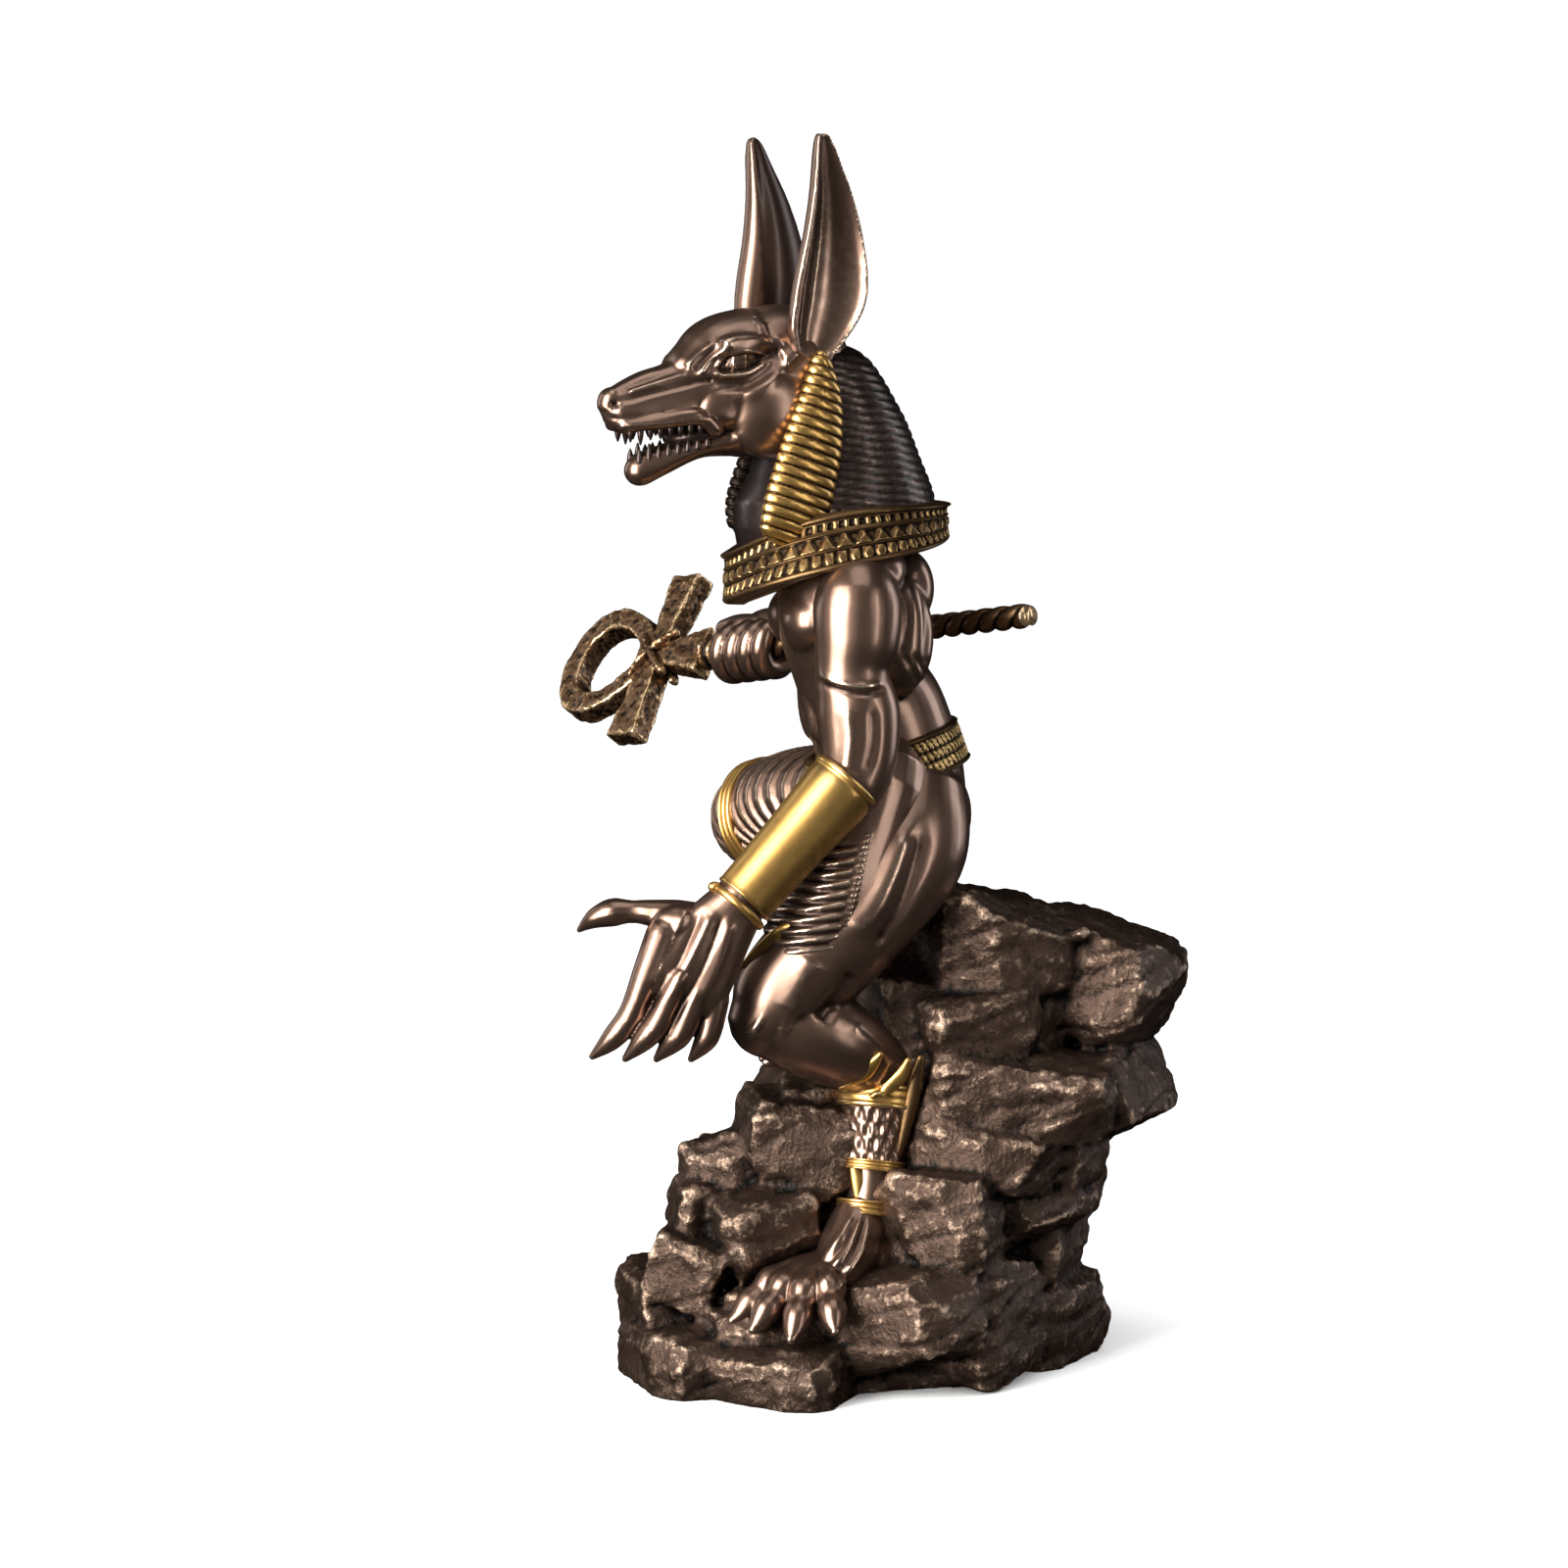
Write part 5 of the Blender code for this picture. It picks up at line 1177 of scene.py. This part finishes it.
rockForm = {
    "voxel": 0.78, "seed": 7, "chips": 9, "chipDepth": (0.82, 0.95), "pebbles": 46, "pebbleSeed": 11,
    "pebbleSize": (1.6, 4.2), "coarse": 0.75, "grit": 0.30, "seam": 0.5, "seamWidth": 0.11,
    # blocks of the pile: centre, half-size, yaw, pitch and roll
    "boulders": [
        ((-8, -4, 7), (40, 42, 12), (8, 0, 0)), ((-24, 24, 9), (26, 26, 14), (20, 0, 0)),
        ((33, -22, 4), (15, 19, 9), (-24, 0, 10)), ((20, -37, 5), (21, 14, 8.5), (22, 4, 0)),
        ((8, -43, 12), (18, 10, 11), (14, 8, 0)), ((36, 7, 17), (10, 17, 11), (-34, 16, 0)),
        ((16, 24, 14), (15, 15, 14), (-42, 4, 0)), ((-6, 39, 10), (18, 16, 11), (-35, -8, 0)),
        ((-2, 36.5, 25), (14, 13, 9), (-20, 6, 0)), ((17, -38, 25), (13, 9, 8.5), (-12, -18, 0)),
        ((10, -35.5, 36.5), (11, 8.5, 6.5), (12, -10, 0)), ((17, -22, 35), (16, 14, 10), (10, 12, 0)),
        ((6, -31, 47), (13, 9, 7), (-15, 8, 0)), ((6, -16, 52.5), (17, 13.5, 10.5), (8, -14, 0)),
        ((-14, 6, 36), (30, 26, 29), (0, 0, 0)), ((-34, -3, 35), (20, 21, 27), (6, 0, 0)),
        ((-10, 22, 66), (30, 24, 26), (12, 0, 0)), ((-8, 29, 96), (25, 16, 13), (10, -2, 0)),
        ((-14, 55, 88), (24, 21, 12.5), (-14, -22, 0)), ((14, 26, 80), (12, 13, 8), (16, 10, 0)),
        ((8, 38, 66), (20, 22, 9), (-14, -6, 6)), ((0, 54.5, 61), (16, 12, 9.5), (-24, 26, 0)),
        ((15, 28, 52), (18, 19, 8), (-20, -12, 0)), ((6, 44, 49), (13, 10, 7), (-30, -6, 0)),
        ((20, 17, 38), (15, 17, 12), (-24, 4, 0)), ((8, 32, 34), (12, 17, 8), (-34, 34, 0)),
        ((-36, 32, 76), (16, 22, 18), (20, 0, 0)), ((-34, 32, 44), (20, 24, 20), (-10, 8, 0)),
        ((-44, 4, 18), (12, 28, 17), (12, 0, 0)),
    ],
}


def addBoulder(clay, centre, half, turns, random):
    # block with worn corners, chipped flat in places
    work = bmesh.new()
    bmesh.ops.create_cube(work, size=2)
    bmesh.ops.bevel(work, geom=work.edges[:], offset=0.42, segments=2, profile=0.6, affect='EDGES')
    seed = centre[0] * 0.31 + centre[1] * 0.17 + centre[2] * 0.23
    for vert in work.verts:
        p = vert.co
        pull = 1 + 0.10 * math.sin(2.3 * p.x + seed) + 0.10 * math.sin(2.9 * p.y - 1.7 * seed)
        vert.co = Vector((p.x * half[0], p.y * half[1], p.z * half[2])) * pull
    for k in range(rockForm["chips"]):
        way = Vector(random.normal(size=3)).normalized()
        furthest = max(v.co.dot(way) for v in work.verts)
        spot = way * furthest * random.uniform(*rockForm["chipDepth"])
        cut = bmesh.ops.bisect_plane(work, geom=work.verts[:] + work.edges[:] + work.faces[:],
                                     plane_co=spot, plane_no=way, clear_outer=True)
        edges = [e for e in cut["geom_cut"] if isinstance(e, bmesh.types.BMEdge)]
        if edges:
            bmesh.ops.holes_fill(work, edges=edges)
    mesh = bpy.data.meshes.new("boulder")
    work.to_mesh(mesh)
    work.free()
    mesh.transform(Matrix.Translation(Vector(centre) * mm) @ turnBy(*turns) @ Matrix.Scale(mm, 4))
    clay.from_mesh(mesh)
    bpy.data.meshes.remove(mesh)


def buildRocks():
    random = np.random.default_rng(rockForm["seed"])
    clay = bmesh.new()
    for centre, half, turns in rockForm["boulders"]:
        addBoulder(clay, centre, half, turns, random)
    random = np.random.default_rng(rockForm["pebbleSeed"])
    for k in range(rockForm["pebbles"]):  # small lumps on the steps under the hand and on the top slab
        if k % 5:
            spot = pt(random.uniform(14, 34), random.uniform(-46, -22), 0)
            spot.z = 14 + (spot.y + 46) * 1.05 + random.uniform(-4, 3) - (spot.x - 14) * 0.7
        else:
            spot = pt(random.uniform(4, 14), random.uniform(36, 50), random.uniform(97, 101))
        size = random.uniform(*rockForm["pebbleSize"])
        lump(clay, spot, (size, size * random.uniform(0.7, 1.2), size * random.uniform(0.6, 0.9)),
             yaw=random.uniform(0, 90))
    rocks = oneSkin(fromClay("rocks", clay), rockForm["voxel"], rounds=1)

    def weather(co, no):
        heights = []
        for p in co:
            spot = Vector(p)
            seams = abs(noise.noise(Vector((spot.x * 0.05, spot.y * 0.05, spot.z * 0.16 - spot.y * 0.05))))
            lumps = rockForm["coarse"] * noise.fractal(spot * 0.10, 0.8, 2.1, 5)
            grit = rockForm["grit"] * noise.noise(spot * 0.55)
            heights.append(lumps + grit - rockForm["seam"] * math.exp(-(seams / rockForm["seamWidth"]) ** 2))
        return np.array(heights)

    pressRelief(rocks, weather)
    co = coords(rocks.data)
    co[:, 2] = np.maximum(co[:, 2], 0)  # flat underside
    setCoords(rocks.data, co)
    dress(rocks, "rock", node="rock_base", reach=12, strength=0.30)


for build in (buildHead, buildTeeth, buildEars, buildHeaddress, buildCollar, buildBody, buildLeftHand,
              buildRightFist, buildBracers, buildBelt, buildKilt, buildLegs, buildGreaves, buildStaff,
              buildRocks):
    build()


# Floor, light and camera

studio = {
    "floor": (0.9, 0.9, 0.9), "paper": 1.13, "lens": 100.87, "film": 36, "elevation": 6,
    "target": (0, -0.018, 0.133),  # metres, and the camera stands 1 m from it
    # place and size in metres, power and colour of each lamp
    "lamps": {
        "key": ((0.80, -0.90, 0.45), (0.85, 1.2), 58, (1, 0.98, 0.95)),
        "strip": ((0.80, 0.95, 0.40), (0.12, 1.0), 3.6, (1, 0.98, 0.96)),
        "rim": ((-0.40, 1.10, 0.40), (0.35, 0.9), 3.4, (0.92, 0.95, 1)),
        "farRim": ((-0.55, -1.0, 0.5), (0.3, 0.8), 1.6, (1, 1, 1)),
        "top": ((0.25, 0.05, 1.1), (0.6, 0.8), 2.8, (1, 1, 1)),
        "room": ((2.3, 0.1, 0.7), (3.0, 2.0), 1.8, (1, 1, 1)),
    },
}


def aim(piece, spot):
    piece.location = spot
    piece.rotation_euler = (Vector(studio["target"]) - piece.location).to_track_quat('-Z', 'Y').to_euler()


def addLamp(name, spot, size, power, tone):
    data = bpy.data.lights.new(name, 'AREA')
    data.shape = 'RECTANGLE'
    data.size, data.size_y = size
    data.energy = power
    data.color = tone
    lamp = makePiece(name, data)
    aim(lamp, spot)
    return lamp


def buildStudio():
    bpy.ops.mesh.primitive_plane_add(size=8, location=(0, 0, 0))
    floor = bpy.context.object
    floor.name = "floor"
    paint = bpy.data.materials.new("palePaper")
    paint.use_nodes = True
    shader = paint.node_tree.nodes["Principled BSDF"]
    shader.inputs["Base Color"].default_value = (*studio["floor"], 1)
    shader.inputs["Roughness"].default_value = 0.9
    shader.inputs["Specular IOR Level"].default_value = 0
    floor.data.materials.append(paint)
    floor.visible_glossy = False  # the metal mirrors the dark room, not the paper
    [addLamp(name, *values) for name, values in studio["lamps"].items()]
    world = bpy.data.worlds.new("studio")
    world.use_nodes = True
    world.node_tree.nodes["Background"].inputs["Color"].default_value = (1, 1, 1, 1)
    world.node_tree.nodes["Background"].inputs["Strength"].default_value = studio["paper"]
    world.cycles_visibility.glossy = False
    bpy.context.scene.world = world
    bpy.context.scene.view_settings.view_transform = 'Standard'
    lens = bpy.data.cameras.new("camera")
    lens.lens = studio["lens"]
    lens.sensor_width = studio["film"]
    lens.clip_start = 0.05
    camera = makePiece("camera", lens)
    tilt = math.radians(studio["elevation"])
    aim(camera, Vector(studio["target"]) + Vector((math.cos(tilt), 0, math.sin(tilt))))
    bpy.context.scene.camera = camera
    print("studio ready")


buildStudio()
